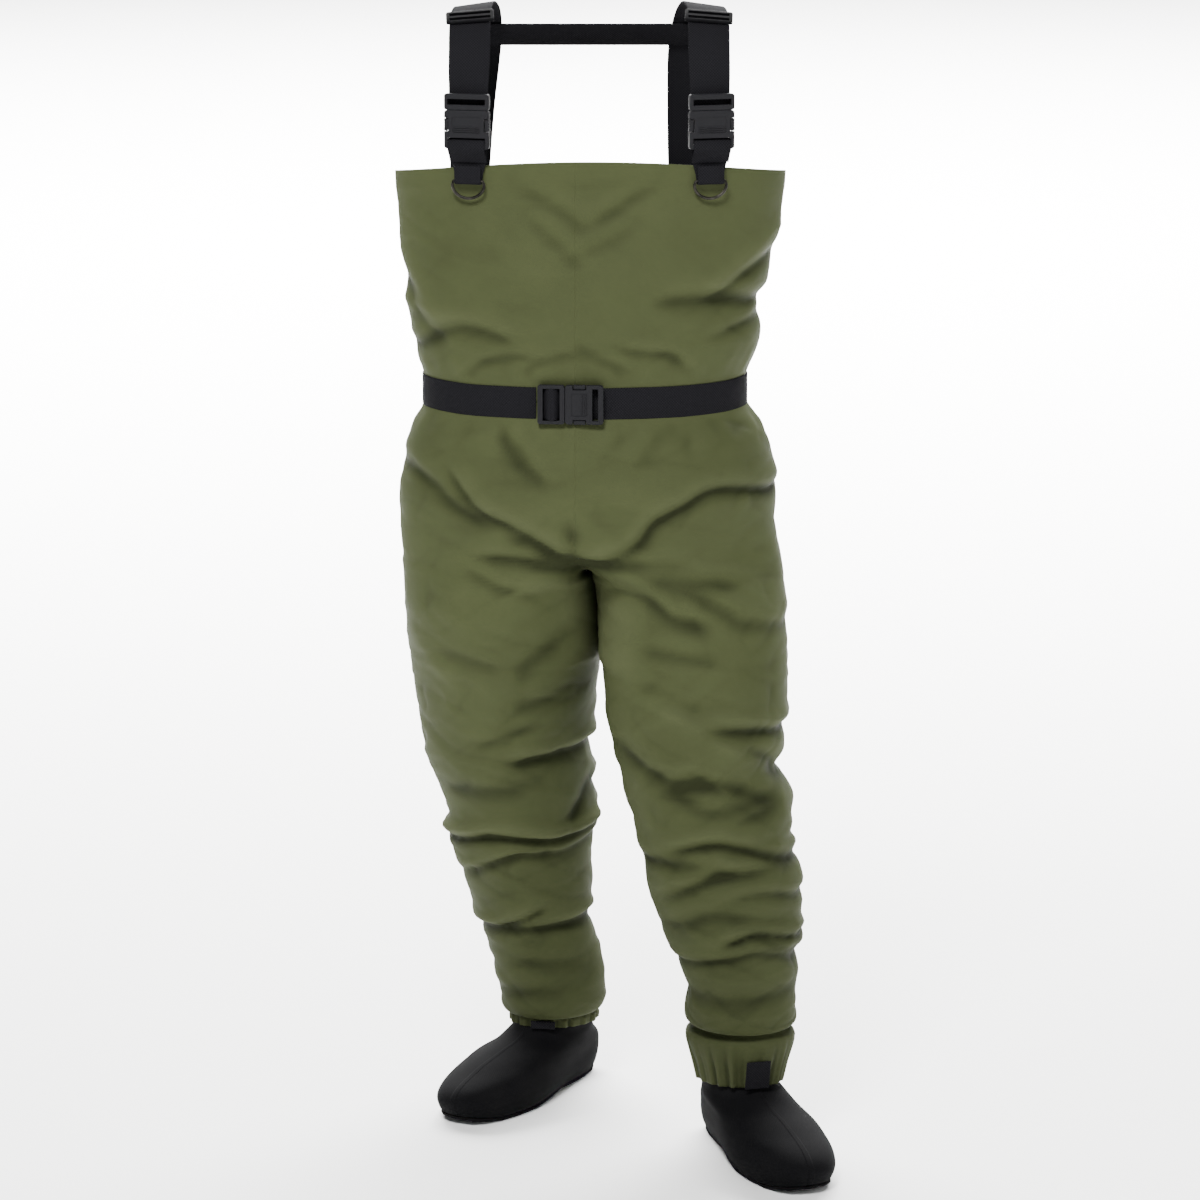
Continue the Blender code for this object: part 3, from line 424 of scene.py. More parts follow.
def shell_cage():
    """The shell's sections as quads, with the cloth's freedom to crease and the limb at each point."""
    points, freedom, limb, faces, spread = [], [], [], [], []

    def add_ring(ring, free, which):
        first = len(points)
        points.extend(ring)
        freedom.extend([free] * len(ring))
        limb.extend([which] * len(ring))
        return list(range(first, len(points)))

    turns = [math.radians(-90 + 360 * k / TORSO_SIDES) for k in range(TORSO_SIDES)]
    girth = [TORSO_GIRTH * k / TORSO_SIDES for k in range(TORSO_SIDES + 1)]
    sections = [((*row, 0.0), 0.0 if name in HELD_BY_BELT else 1.0)
                for name, row in TORSO.items() if name != "collar"]
    sections += [((*row, swell), HEM_FREEDOM) for row, swell in hem_rows()]
    sections = filled_in(sections, lambda numbers: numbers[0])
    sections = [(TorsoRow(*numbers[:-1]), numbers[-1], free) for numbers, free in sections]
    rings = [add_ring([torso_point(row, turn, swell) for turn in turns], free, 0.0)
             for row, swell, free in sections]
    for k in range(len(rings) - 1):
        heights = (sections[k][0].front_z, sections[k + 1][0].front_z)
        add_band(faces, spread, rings[k], rings[k + 1], girth, heights)
    fork, half = rings[0], TORSO_SIDES // 2
    for ends in (0, half):
        points[fork[ends]].x = FORK_OFFSET
    front, back = points[fork[0]], points[fork[half]]
    saddle = []
    for k in range(1, CROTCH_POINTS + 1):
        share = k / (CROTCH_POINTS + 1)
        point = back.lerp(front, share)
        point.z -= FORK_DIP * (1 - abs(2 * share - 1) ** 3)
        saddle.append(point)
    saddle = add_ring(saddle, 1.0, 0.0)
    outer = [math.radians(-90 + 360 * k / TORSO_SIDES) for k in range(half + 1)]
    inner = [math.radians(90 + 180 * k / (CROTCH_POINTS + 1)) for k in range(1, CROTCH_POINTS + 1)]
    around = [LEG_RADIUS * (a + math.pi / 2) for a in outer + inner] + [LEG_RADIUS * 2 * math.pi]
    for side in SIDES:
        step = 1 if side == "right" else -1
        start = [fork[step * k] for k in range(half + 1)] + saddle
        loose = [1.0] * (len(LEGS[side]) - TUCKED_ROWS) + [0.0] * TUCKED_ROWS
        leg_rows = filled_in(list(zip(LEGS[side], loose)), lambda numbers: numbers[0])
        leg_rows = [(LegRow(*numbers), free) for numbers, free in leg_rows]
        legs = [[leg_point(side, row, a) for a in outer + inner] for row, _ in leg_rows]
        arch = []
        for number, below in zip(start, legs[0]):
            point = points[number].lerp(below, ARCH_SPREAD)
            point.z = points[number].z + (below.z - points[number].z) * ARCH_FALL
            arch.append(point)
        loose = [1.0] + [free for _, free in leg_rows]
        leg_rings = [start] + [add_ring(ring, free, SIGN[side]) for ring, free in zip([arch, *legs], loose)]
        heights = [TORSO["fork"].front_z, arch[0].z]
        heights += [(row.outer_z + row.inner_z) / 2 for row, _ in leg_rows]
        for k in range(len(leg_rings) - 1):
            lower, upper = leg_rings[k : k + 2]
            add_band(faces, spread, lower, upper, around, heights[k : k + 2], turned=side == "right")
    cage = new_piece("shell", [point + BODY_MIDDLE for point in points], faces, spread)
    for name, values in (("freedom", freedom), ("limb", limb)):
        cage.data.attributes.new(name, "FLOAT", "POINT").data.foreach_set("value", values)
    return cage


def pick(*pieces):
    """Selects some pieces alone and makes the first of them active."""
    bpy.ops.object.select_all(action="DESELECT")
    for piece in pieces:
        piece.select_set(True)
    bpy.context.view_layer.objects.active = pieces[0]


def apply_modifiers(piece):
    """Applies a piece's modifiers from first to last."""
    pick(piece)
    for modifier in list(piece.modifiers):
        bpy.ops.object.modifier_apply(modifier=modifier.name)


def round_off(piece, levels):
    """Rounds a cage by subdivision."""
    rounding = piece.modifiers.new("rounding", "SUBSURF")
    rounding.levels = levels
    rounding.render_levels = levels
    apply_modifiers(piece)
    piece.data.shade_smooth()


def thicken(piece, thickness, lined=False):
    """Gives a skin its wall, inwards. A lined one has its second material on the inner face."""
    wall = piece.modifiers.new("wall", "SOLIDIFY")
    wall.thickness = thickness
    wall.offset = -1.0
    wall.material_offset = int(lined)
    apply_modifiers(piece)


def read_points(mesh, name):
    """The places or normals of a mesh's points, as rows of three."""
    values = np.empty(len(mesh.vertices) * 3, np.float32)
    mesh.vertices.foreach_get(name, values)
    return values.reshape(-1, 3).astype(np.float64)


def read_attribute(mesh, name):
    """An attribute's value at each point of a mesh."""
    values = np.empty(len(mesh.vertices), np.float32)
    mesh.attributes[name].data.foreach_get("value", values)
    return values.astype(np.float64)


def move_out(mesh, lift):
    """Moves a mesh's points along their normals, by one lift or by each point's own."""
    moved = read_points(mesh, "co") + read_points(mesh, "normal") * np.reshape(lift, (-1, 1))
    mesh.vertices.foreach_set("co", moved.astype(np.float32).ravel())


def smoothstep(low, high, value):
    """Nought below the low value, one above the high one and an even S between, for a number or an array."""
    share = np.clip((value - low) / (high - low), 0.0, 1.0)
    return share * share * (3 - 2 * share)


def rounded(points, steps):
    """Points along a smooth curve through the given points, ends included."""
    made = []
    last = len(points) - 1
    for i in range(last):
        before, start = points[max(i - 1, 0)], points[i]
        end, after = points[i + 1], points[min(i + 2, last)]
        for step in range(steps):
            t = step / steps
            bend = (2 * before - 5 * start + 4 * end - after) * t**2
            swing = (3 * start - before - 3 * end + after) * t**3
            made.append(0.5 * (2 * start + (end - before) * t + bend + swing))
    made.append(points[last])
    return made


def crease_relief(across, height, crease):
    """How far one crease moves the cloth out at places given across the body and up."""
    path = [np.array(point) / 1000 for point in crease.path]
    for end, before in ((0, 1), (-1, -2)):
        onward = path[end] - path[before]
        path[end] = path[end] + onward / math.hypot(*onward) * CREASE_FADE
    path = rounded(path, CREASE_CURVE_STEPS)
    width, depth = crease.width / 1000, crease.depth / 1000
    nearest = np.full(len(across), np.inf)
    along, above = np.zeros(len(across)), np.ones(len(across))
    run = 0.0
    for start, end in zip(path, path[1:]):
        step = end - start
        length = math.hypot(*step)
        east, north = across - start[0], height - start[1]
        share = np.clip((east * step[0] + north * step[1]) / length**2, 0.0, 1.0)
        gap = np.hypot(east - share * step[0], north - share * step[1])
        nearer = gap < nearest
        nearest = np.where(nearer, gap, nearest)
        along = np.where(nearer, run + share * length, along)
        above = np.where(nearer, np.sign(step[0] * north - step[1] * east), above)
        run += length
    offset = nearest * above
    sharp = min(SHARP_MOST, abs(crease.depth) / SHARP_DEPTH)
    soft_trough = np.exp(-((offset / width) ** 2))
    sharp_trough = np.exp(-np.abs(offset) / (SHARP_WIDTH * width))
    trough = (1 - sharp) * soft_trough + sharp * sharp_trough
    roll = np.exp(-(((offset - ROLL_OUT * width) / (ROLL_WIDTH * width)) ** 2))
    fade = smoothstep(0.0, CREASE_FADE_RUN, along) * smoothstep(0.0, CREASE_FADE_RUN, run - along)
    strength = depth * (LEG_FOLDS if crease.limb != "body" else 1.0)
    return strength * (crease.roll * roll - trough) * fade


def all_creases(across, height, facing, limb):
    """What the listed creases of the front and the back do together at each point."""
    relief = np.zeros(len(across))
    for creases, way in ((FRONT_CREASES, -1.0), (BACK_CREASES, 1.0)):
        seen = smoothstep(*CREASE_FACING, way * facing)
        for crease in creases:
            path = np.array(crease.path) / 1000
            low, high = path.min(axis=0) - CREASE_REACH, path.max(axis=0) + CREASE_REACH
            near = (across > low[0]) & (across < high[0]) & (height > low[1]) & (height < high[1])
            near &= seen > CREASE_LEAST
            if crease.limb != "body":
                near &= limb * SIGN[crease.limb] > LIMB_LEAST
            where = np.flatnonzero(near)
            relief[where] += seen[where] * crease_relief(across[where], height[where], crease)
    return relief


def small_wrinkles(places):
    """Thin wrinkles that run across the cloth in layers, strongest on the legs."""
    relief = np.zeros(len(places))
    weight = np.interp(places[:, 2], *zip(*WRINKLE_WEIGHT))
    for k, (x, y, z) in enumerate(places):
        for layer in WRINKLES:
            up = (z + layer.slant * x) / layer.height + layer.start
            level = noise.noise((x / layer.length, y / layer.length, up))
            relief[k] += weight[k] * layer.share * max(0.0, 1.0 - abs(level) / WRINKLE_EDGE) ** 2
    return relief


def evened(mesh, relief):
    """A relief with each point drawn halfway to the mean of its neighbours."""
    ends = np.zeros(2 * len(mesh.edges), np.int32)
    mesh.edges.foreach_get("vertices", ends)
    first, second, count = ends[0::2], ends[1::2], len(relief)
    around = np.bincount(first, relief[second], count) + np.bincount(second, relief[first], count)
    return (relief + around / np.bincount(ends, minlength=count)) / 2


def press_folds(piece):
    """Moves the cloth in and out along its normals: creases, wrinkles, gathers at the belt and billows."""
    mesh = piece.data
    places, normals = read_points(mesh, "co"), read_points(mesh, "normal")
    freedom, limb = read_attribute(mesh, "freedom"), read_attribute(mesh, "limb")
    across, height = places[:, 0] - BODY_MIDDLE.x, places[:, 2]
    relief = all_creases(across, height, normals[:, 1], limb) + small_wrinkles(places)
    turn = np.arctan2(places[:, 1] - BODY_MIDDLE.y, across)
    pleats = np.cos(WIDE_PLEATS * turn + 2 * np.sin(3 * turn)) + 0.6 * np.cos(FINE_PLEATS * turn + 1.0)
    from_belt = np.abs(height - TORSO["waist"].front_z)
    relief += GATHER_DEPTH * pleats * np.exp(-((from_belt / GATHER_REACH) ** 2)) * (limb == 0)
    inner = smoothstep(*THIGH_FACING, -limb * normals[:, 0]) * smoothstep(*THIGHS_MEET, height)
    relief = evened(mesh, relief + THIGH_PRESS * inner) * freedom
    billow = np.array([noise.noise(place / BILLOW_SIZE) for place in places])
    move_out(mesh, relief + BILLOW_DEPTH * billow * freedom)
    # The relief without the billows is kept as the fold attribute. The cloth's colour uses it to paint shade
    # into the troughs and a highlight onto the ridges.
    fold = np.clip(0.5 + 0.5 * relief / FOLD_SCALE, 0.0, 1.0)
    mesh.attributes.new("fold", "FLOAT", "POINT").data.foreach_set("value", fold.astype(np.float32))
    mesh.update()


def cut_off_above(piece, height):
    """Splits the faces over a height off a piece, and returns them as a new piece."""
    pick(piece)
    bpy.ops.object.mode_set(mode="EDIT")
    bpy.ops.mesh.select_mode(type="FACE")
    bpy.ops.mesh.select_all(action="DESELECT")
    bpy.ops.object.mode_set(mode="OBJECT")
    piece.data.polygons.foreach_set("select", [face.center.z > height for face in piece.data.polygons])
    bpy.ops.object.mode_set(mode="EDIT")
    bpy.ops.mesh.separate(type="SELECTED")
    bpy.ops.object.mode_set(mode="OBJECT")
    return next(other for other in bpy.context.selected_objects if other is not piece)


def feed(tree, node, feeds):
    """Gives a node's sockets their values or links."""
    for socket, value in feeds.items():
        if isinstance(value, bpy.types.NodeSocket):
            tree.links.new(value, node.inputs[socket])
        else:
            node.inputs[socket].default_value = value


def add_node(tree, kind, feeds=None, **settings):
    """A shader node with its settings, and with values or links fed to its sockets."""
    made = tree.nodes.new(kind)
    for name, value in settings.items():
        setattr(made, name, value)
    feed(tree, made, feeds or {})
    return made


def maths(tree, operation, *values):
    """What a maths node makes of some values."""
    return add_node(tree, "ShaderNodeMath", dict(enumerate(values)), operation=operation).outputs[0]


def mottle(tree, scale, detail):
    """Soft noise over the piece."""
    place = tree.nodes.new("ShaderNodeTexCoord")
    feeds = {"Vector": place.outputs["Object"], "Scale": scale, "Detail": detail}
    return add_node(tree, "ShaderNodeTexNoise", feeds).outputs["Fac"]


def remapped(tree, value, old, new, curve="LINEAR"):
    """A value taken from its old range to a new one."""
    feeds = dict(enumerate((value, *old, *new)))
    return add_node(tree, "ShaderNodeMapRange", feeds, interpolation_type=curve).outputs[0]


def tone_ramp(tree, value, first, last, *between):
    """A colour that follows a value through stops, each a place on the ramp and its colour."""
    ramp = add_node(tree, "ShaderNodeValToRGB", {0: value})
    stops = ramp.color_ramp.elements
    for stop, (place, colour) in enumerate((first, last)):
        stops[stop].position = place
        stops[stop].color = colour
    for place, colour in between:
        stops.new(place).color = colour
    return ramp.outputs["Color"]


def shaded(tree, colour, factor):
    """A colour made darker or paler by a factor."""
    return add_node(tree, "ShaderNodeVectorMath", {0: colour, "Scale": factor}, operation="SCALE").outputs[0]


def bump(tree, height, strength, distance, under=None):
    """The normal of a fine relief, laid over another one where that is given."""
    feeds = {"Height": height, "Strength": strength, "Distance": distance}
    if under is not None:
        feeds["Normal"] = under
    return add_node(tree, "ShaderNodeBump", feeds).outputs[0]


def weave_group():
    """Plain weave: threads that pass over and under each other, from cloth coordinates in metres."""
    group = bpy.data.node_groups.new("plain_weave", "ShaderNodeTree")
    group.interface.new_socket("Cloth", in_out="INPUT", socket_type="NodeSocketVector")
    group.interface.new_socket("Thread", in_out="INPUT", socket_type="NodeSocketFloat")
    group.interface.new_socket("Height", in_out="OUTPUT", socket_type="NodeSocketFloat")
    source = group.nodes.new("NodeGroupInput")
    axes = add_node(group, "ShaderNodeSeparateXYZ", {0: source.outputs["Cloth"]})
    waves = []
    for axis in ("X", "Y"):
        threads = maths(group, "DIVIDE", axes.outputs[axis], source.outputs["Thread"])
        waves.append(maths(group, "SINE", maths(group, "MULTIPLY", threads, math.pi)))
    crossing = maths(group, "MULTIPLY", *waves)
    add_node(group, "NodeGroupOutput", {"Height": maths(group, "MULTIPLY_ADD", crossing, 0.5, 0.5)})
    return group


PLAIN_WEAVE = weave_group()


def woven(tree, thread):
    """The height of a plain weave over the piece's cloth coordinates, with threads of one width."""
    cloth = add_node(tree, "ShaderNodeUVMap", uv_map="cloth")
    feeds = {"Cloth": cloth.outputs["UV"], "Thread": thread}
    return add_node(tree, "ShaderNodeGroup", feeds, node_tree=PLAIN_WEAVE).outputs["Height"]


def olive_cloth(name, seam):
    """Coated olive nylon, with painted shade in the folds, a painted highlight on the ridges and painted
    shade that darkens it towards the feet, with a fine weave and small crinkles.
    """
    made, tree, shader = new_material(name)
    place = tree.nodes.new("ShaderNodeTexCoord").outputs["Object"]
    axes = add_node(tree, "ShaderNodeSeparateXYZ", {0: place})
    # Painted shade and highlight: the fold attribute takes the colour to the darker olive in the troughs and
    # to the paler olive on the ridges.
    fold = add_node(tree, "ShaderNodeAttribute", attribute_name="fold").outputs["Fac"]
    tone = tone_ramp(tree, fold, (0.08, OLIVE_PAINTED_SHADE), (0.95, OLIVE_PAINTED_HIGHLIGHT), (0.46, OLIVE))
    patches = mottle(tree, scale=9.0, detail=5.0)
    # Painted shade: the colour darkens towards the feet, below the upper of these heights.
    painted_low_shade = remapped(tree, axes.outputs["Z"], PAINTED_SHADE_HEIGHTS, (PAINTED_SHADE_TONE, 1.0))
    depth = maths(tree, "MULTIPLY", remapped(tree, patches, NOISE_RANGE, (0.92, 1.07)), painted_low_shade)
    stretched = add_node(tree, "ShaderNodeMapping", {"Vector": place, "Scale": CRINKLE_STRETCH}).outputs[0]
    feeds = {"Vector": stretched, "Scale": 22.0, "Detail": 4.0, "Roughness": 0.55, "Distortion": 0.5}
    crinkle = add_node(tree, "ShaderNodeTexNoise", feeds, noise_type="RIDGED_MULTIFRACTAL", normalize=True)
    relief = bump(tree, crinkle.outputs["Fac"], strength=0.35, distance=0.0025)
    relief = bump(tree, woven(tree, CLOTH_THREAD), strength=0.25, distance=0.0003, under=relief)
    if seam:
        aside = maths(tree, "ABSOLUTE", maths(tree, "SUBTRACT", axes.outputs["X"], BODY_MIDDLE.x + SEAM_X))
        below_fork = maths(tree, "GREATER_THAN", TORSO["fork"].side_z, axes.outputs["Z"])
        off_seam = maths(tree, "ADD", aside, below_fork)
        groove = remapped(tree, off_seam, (0.0, SEAM_HALF), (0.0, 1.0), "SMOOTHSTEP")
        relief = bump(tree, groove, strength=0.4, distance=0.001, under=relief)
    gloss = remapped(tree, patches, NOISE_RANGE, (0.62, 0.74))
    feed(tree, shader, {"Base Color": shaded(tree, tone, depth), "Roughness": gloss, "Normal": relief})
    shader.inputs["Specular IOR Level"].default_value = 0.03
    return made


def lining_cloth():
    """The coated inner face: a duller grey olive, smoother than the outside."""
    made, tree, shader = new_material("coated_lining")
    patches = mottle(tree, scale=14.0, detail=4.0)
    tint = shaded(tree, LINING_COLOUR, remapped(tree, patches, NOISE_RANGE, (0.85, 1.1)))
    relief = bump(tree, patches, strength=0.3, distance=0.004)
    feed(tree, shader, {"Base Color": tint, "Normal": relief})
    shader.inputs["Roughness"].default_value = 0.65
    shader.inputs["Specular IOR Level"].default_value = 0.12
    return made


OLIVE_CLOTH = olive_cloth("olive_cloth", seam=True)
LINING = lining_cloth()


def ride_on_waders(piece, slot, *nodes):
    """Fixes a piece to the garment and hides the solids of the frame that it stands for."""
    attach(piece, "waders")
    if nodes:
        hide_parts(*nodes)


trousers = shell_cage()
lining = trousers.copy()
lining.data = trousers.data.copy()
bpy.context.collection.objects.link(lining)
round_off(trousers, levels=3)
press_folds(trousers)
bib = cut_off_above(trousers, TORSO["waist"].front_z)
bib.name, trousers.name = "bib", "trousers"
for cloth_piece in (bib, trousers):
    cloth_piece.data.materials.append(OLIVE_CLOTH)
bib.data.materials.append(LINING)
thicken(bib, SHELL_WALL, lined=True)
ride_on_waders(bib, "olive_fabric", "shell")
ride_on_waders(trousers, "olive_fabric", "shell")

# The trousers' lining is the inner face of the same cloth, which only shows from above, so it is left smooth.
lining.name = "trouser_lining"
upper_lining = cut_off_above(lining, TORSO["waist"].front_z)
bpy.data.objects.remove(upper_lining)
round_off(lining, levels=1)
move_out(lining.data, -LINING_INSET)
lining.data.flip_normals()
lining.data.materials.append(LINING)
ride_on_waders(lining, "olive_fabric", "shell")

# The feet are stocking feet: an upper of 3.5 mm neoprene faced with black knit, glued and taped to a neoprene
# sole panel along its lower edge, with a seam down the heel and one over the instep.
FOOT_LENGTH = 0.322
FOOT_YAW = {"left": 35.0, "right": 23.0}
NEOPRENE = 0.0035
SOLE_THICKNESS = 0.004
SOLE_EDGE = ((0.0, -0.030), (0.0, -0.012), (0.0, -0.0035), (0.0006, -0.0012), (SOLE_THICKNESS * 0.45, 0.0),
             (SOLE_THICKNESS * 0.9, 0.0), (SOLE_THICKNESS, -0.0006))
ARCH_RISE = 0.003
TOE_SPRING = 0.007
TOE_IN = 0.016
FOOT_SIDES = 24
FOOT_GIRTH = 0.36

SockRow = namedtuple("SockRow", "front_y front_z back_y back_z ball heel round lift")
SOCK = (
    SockRow(0.309, 0.0043, 0.011, 0.0043, 0.0555, 0.0365, 0.34, 1.0),
    SockRow(0.322, 0.0220, 0.002, 0.0180, 0.0650, 0.0450, 0.38, 0.6),
    SockRow(0.310, 0.0410, 0.000, 0.0350, 0.0615, 0.0455, 0.40, 0.3),
    SockRow(0.269, 0.0540, 0.002, 0.0480, 0.0560, 0.0455, 0.42, 0.0),
    SockRow(0.205, 0.0630, 0.010, 0.0580, 0.0500, 0.0455, 0.46, 0.0),
    SockRow(0.161, 0.0705, 0.018, 0.0650, 0.0465, 0.0450, 0.49, 0.0),
    SockRow(0.141, 0.0800, 0.024, 0.0730, 0.0440, 0.0445, 0.50, 0.0),
    SockRow(0.139, 0.1000, 0.027, 0.0980, 0.0440, 0.0440, 0.50, 0.0),
    SockRow(0.139, 0.1650, 0.027, 0.1650, 0.0440, 0.0440, 0.50, 0.0),
)
ANKLE_FORWARD = (SOCK[-1].front_y + SOCK[-1].back_y) / 2
RUCK_DEPTH = 0.0012
RUCK_SIZE = (0.06, 0.06, 0.013)
RUCK_START = (0.0, 0.0, 3.0)
RUCK_Z = 0.072
RUCK_REACH = 0.020
RUCK_LOW = 0.012
RUCK_SHARES = (2.2, 0.5)
KNIT_THREAD = 0.0011
SEAM_TAPE = (0.0030, 0.0018)
NEOPRENE_COLOUR = (0.0036, 0.0036, 0.0041, 1.0)
NEOPRENE_WORN = (0.0054, 0.0053, 0.0057, 1.0)


def foot_point(side, out, forward, z):
    """A point in the foot's own frame: outwards from its line, forward of the heel and up."""
    yaw = math.radians(FOOT_YAW[side])
    toe = Vector((SIGN[side] * math.sin(yaw), -math.cos(yaw), 0.0))
    outwards = Vector((SIGN[side] * math.cos(yaw), math.sin(yaw), 0.0))
    row = LEGS[side][-1]
    ankle = Vector((SIGN[side] * (row.outer + row.inner) / 2, 0.0, 0.0))
    ankle.y = leg_middle_y(side, (row.outer_z + row.inner_z) / 2)
    return BODY_MIDDLE + ankle + toe * (forward - ANKLE_FORWARD) + outwards * out + Vector((0.0, 0.0, z))


def sole_rise(forward):
    """How far the sole lifts off the floor under the arch and the toe."""
    share = forward / FOOT_LENGTH
    arch = smoothstep(0.26, 0.36, share) * (1 - smoothstep(0.44, 0.54, share))
    return ARCH_RISE * arch + TOE_SPRING * smoothstep(0.80, 1.0, share)


def sock_point(side, row, angle, off=0.0):
    """A point of a sock loop. Angle 0 is at the heel, 90 degrees at the outer side and 180 at the toe."""
    share = (1 - math.cos(angle)) / 2
    reach = row.heel + (row.ball - row.heel) * smoothstep(0.25, 0.70, share) + off
    forward = row.back_y - off + (row.front_y - row.back_y + 2 * off) * share
    half = math.copysign(reach * (math.sin(angle) ** 2) ** row.round, math.sin(angle))
    z = row.back_z + (row.front_z - row.back_z) * share + row.lift * sole_rise(forward)
    return foot_point(side, half - TOE_IN * (forward / FOOT_LENGTH) ** 2, forward, z)


def tube_mesh(name, rings, lengths, girth, turned):
    """Closed rings of points joined by quads, with cloth coordinates round the girth and up the lengths."""
    count = len(rings[0])
    around = [girth * k / count for k in range(count + 1)]
    faces, spread = [], []
    for i in range(len(rings) - 1):
        lower, upper = range(i * count, (i + 1) * count), range((i + 1) * count, (i + 2) * count)
        add_band(faces, spread, lower, upper, around, lengths[i : i + 2], turned)
    return new_piece(name, [point for ring in rings for point in ring], faces, spread)


def knit_neoprene():
    """Foam rubber faced with a matt black knit, a little worn and dusty, with raised taped seams."""
    made, tree, shader = new_material("knit_neoprene")
    wear = mottle(tree, scale=26.0, detail=6.0)
    tone = tone_ramp(tree, wear, (0.35, NEOPRENE_COLOUR), (0.8, NEOPRENE_WORN))
    cloth = add_node(tree, "ShaderNodeUVMap", uv_map="cloth")
    axes = add_node(tree, "ShaderNodeSeparateXYZ", {0: cloth.outputs["UV"]})
    quarter = FOOT_GIRTH / 4
    half_way = maths(tree, "PINGPONG", axes.outputs["X"], 2 * quarter)
    away = maths(tree, "ABSOLUTE", maths(tree, "SUBTRACT", quarter, half_way))
    tape = remapped(tree, away, [quarter - width for width in SEAM_TAPE], (0.0, 1.0), "SMOOTHSTEP")
    knit = bump(tree, woven(tree, KNIT_THREAD), strength=0.3, distance=0.0004)
    relief = bump(tree, tape, strength=0.8, distance=0.0008, under=knit)
    feed(tree, shader, {"Base Color": tone, "Normal": relief})
    shader.inputs["Roughness"].default_value = 0.9
    shader.inputs["Specular IOR Level"].default_value = 0.05
    return made


def edit_whole(piece, operation, **settings):
    """Runs one mesh operator on the whole of a piece."""
    pick(piece)
    bpy.ops.object.mode_set(mode="EDIT")
    bpy.ops.mesh.select_all(action="SELECT")
    operation(**settings)
    bpy.ops.object.mode_set(mode="OBJECT")


KNIT_NEOPRENE = knit_neoprene()
foot_turns = [2 * math.pi * k / FOOT_SIDES for k in range(FOOT_SIDES)]
for side in SIDES:
    loops = [[sock_point(side, row, turn) for turn in foot_turns] for row in SOCK]
    heights = [row.front_z for row in SOCK]
    sock = tube_mesh(f"sock_upper_{side}", loops, heights, FOOT_GIRTH, turned=side == "right")
    round_off(sock, levels=3)
    places = read_points(sock.data, "co")
    rucks = np.array([noise.noise(place / RUCK_SIZE + RUCK_START) for place in places])
    at_ankle = np.exp(-(((places[:, 2] - RUCK_Z) / RUCK_REACH) ** 2))
    share = RUCK_SHARES[0] * at_ankle + RUCK_SHARES[1] * (places[:, 2] > RUCK_LOW)
    move_out(sock.data, RUCK_DEPTH * rucks * share)
    thicken(sock, NEOPRENE)
    sock.data.materials.append(KNIT_NEOPRENE)
    ride_on_waders(sock, "neoprene", f"sock_upper_{side}")

    edge = SOCK[0]._replace(front_z=0.0, back_z=0.0)
    sole_loops = []
    for height, inset in SOLE_EDGE:
        loop = [sock_point(side, edge, turn, inset) for turn in foot_turns]
        for point in loop:
            point.z += height
        sole_loops.append(loop)
    sole_run = [SOLE_THICKNESS * k for k in range(len(sole_loops))]
    sole = tube_mesh(f"sole_{side}", sole_loops, sole_run, FOOT_GIRTH, turned=side == "right")
    edit_whole(sole, bpy.ops.mesh.fill_holes, sides=0)
    sole.data.shade_smooth()
    sole.data.materials.append(KNIT_NEOPRENE)
    ride_on_waders(sole, "neoprene", f"sole_{side}")


# The gravel guards are short sleeves of the shell's cloth with elastic in the hem, which pulls it into small
# ruffles round the ankle. A short webbing tab is sewn to the front of each hem.
GATHER = 0.0026
GUARD_POINTS = 200
GUARD_STEPS = 5
RUFFLES = 19
RUFFLE_SHARE = 0.75
# How strongly the ruffles are painted: shade in their hollows and a highlight on their crests, through the
# fold attribute.
RUFFLE_PAINTED_SHADE = 0.3
GUARD_TAB_WIDTH = 0.030
GUARD_TAB_TURN = {"left": 26.0, "right": 6.0}
GUARD_TAB_TOP = {"left": 0.8, "right": 0.58}
TAB_THICKNESS = 0.0016
TAB_STEPS = 5
SEAT_GAP = 0.0003

GuardRow = namedtuple("GuardRow", "front_z back_z off gather")
GUARDS = {
    "left": (
        GuardRow(0.110, 0.106, 0.0043, 0.0),
        GuardRow(0.097, 0.092, 0.0047, 0.0),
        GuardRow(0.091, 0.084, 0.0070, 1.0),
        GuardRow(0.083, 0.076, 0.0066, 1.0),
    ),
    "right": (
        GuardRow(0.168, 0.163, 0.0085, 0.0),
        GuardRow(0.150, 0.145, 0.0090, 0.0),
        GuardRow(0.137, 0.131, 0.0205, 0.4),
        GuardRow(0.104, 0.097, 0.0115, 1.0),
        GuardRow(0.083, 0.076, 0.0066, 1.0),
    ),
}
# The webbing's colours: its plain black and a paler tone painted as highlight onto the raised threads, which
# leaves painted shade between them.
WEBBING_COLOUR = (0.0055, 0.0054, 0.0064, 1.0)
WEBBING_PAINTED_HIGHLIGHT = (0.0135, 0.0132, 0.0150, 1.0)
WEBBING_THREAD = 0.0017


def woven_webbing():
    """Tightly woven polyester tape: coarse ribs across the length, with a painted highlight on the raised
    threads and painted shade between them.
    """
    made, tree, shader = new_material("woven_webbing")
    weave = woven(tree, WEBBING_THREAD)
    # Painted highlight on the raised threads and painted shade in the hollows of the weave.
    tone = tone_ramp(tree, weave, (0.0, WEBBING_COLOUR), (1.0, WEBBING_PAINTED_HIGHLIGHT))
    relief = bump(tree, weave, strength=0.6, distance=0.0006)
    feed(tree, shader, {"Base Color": tone, "Normal": relief})
    shader.inputs["Roughness"].default_value = 0.74
    shader.inputs["Specular IOR Level"].default_value = 0.01
    return made


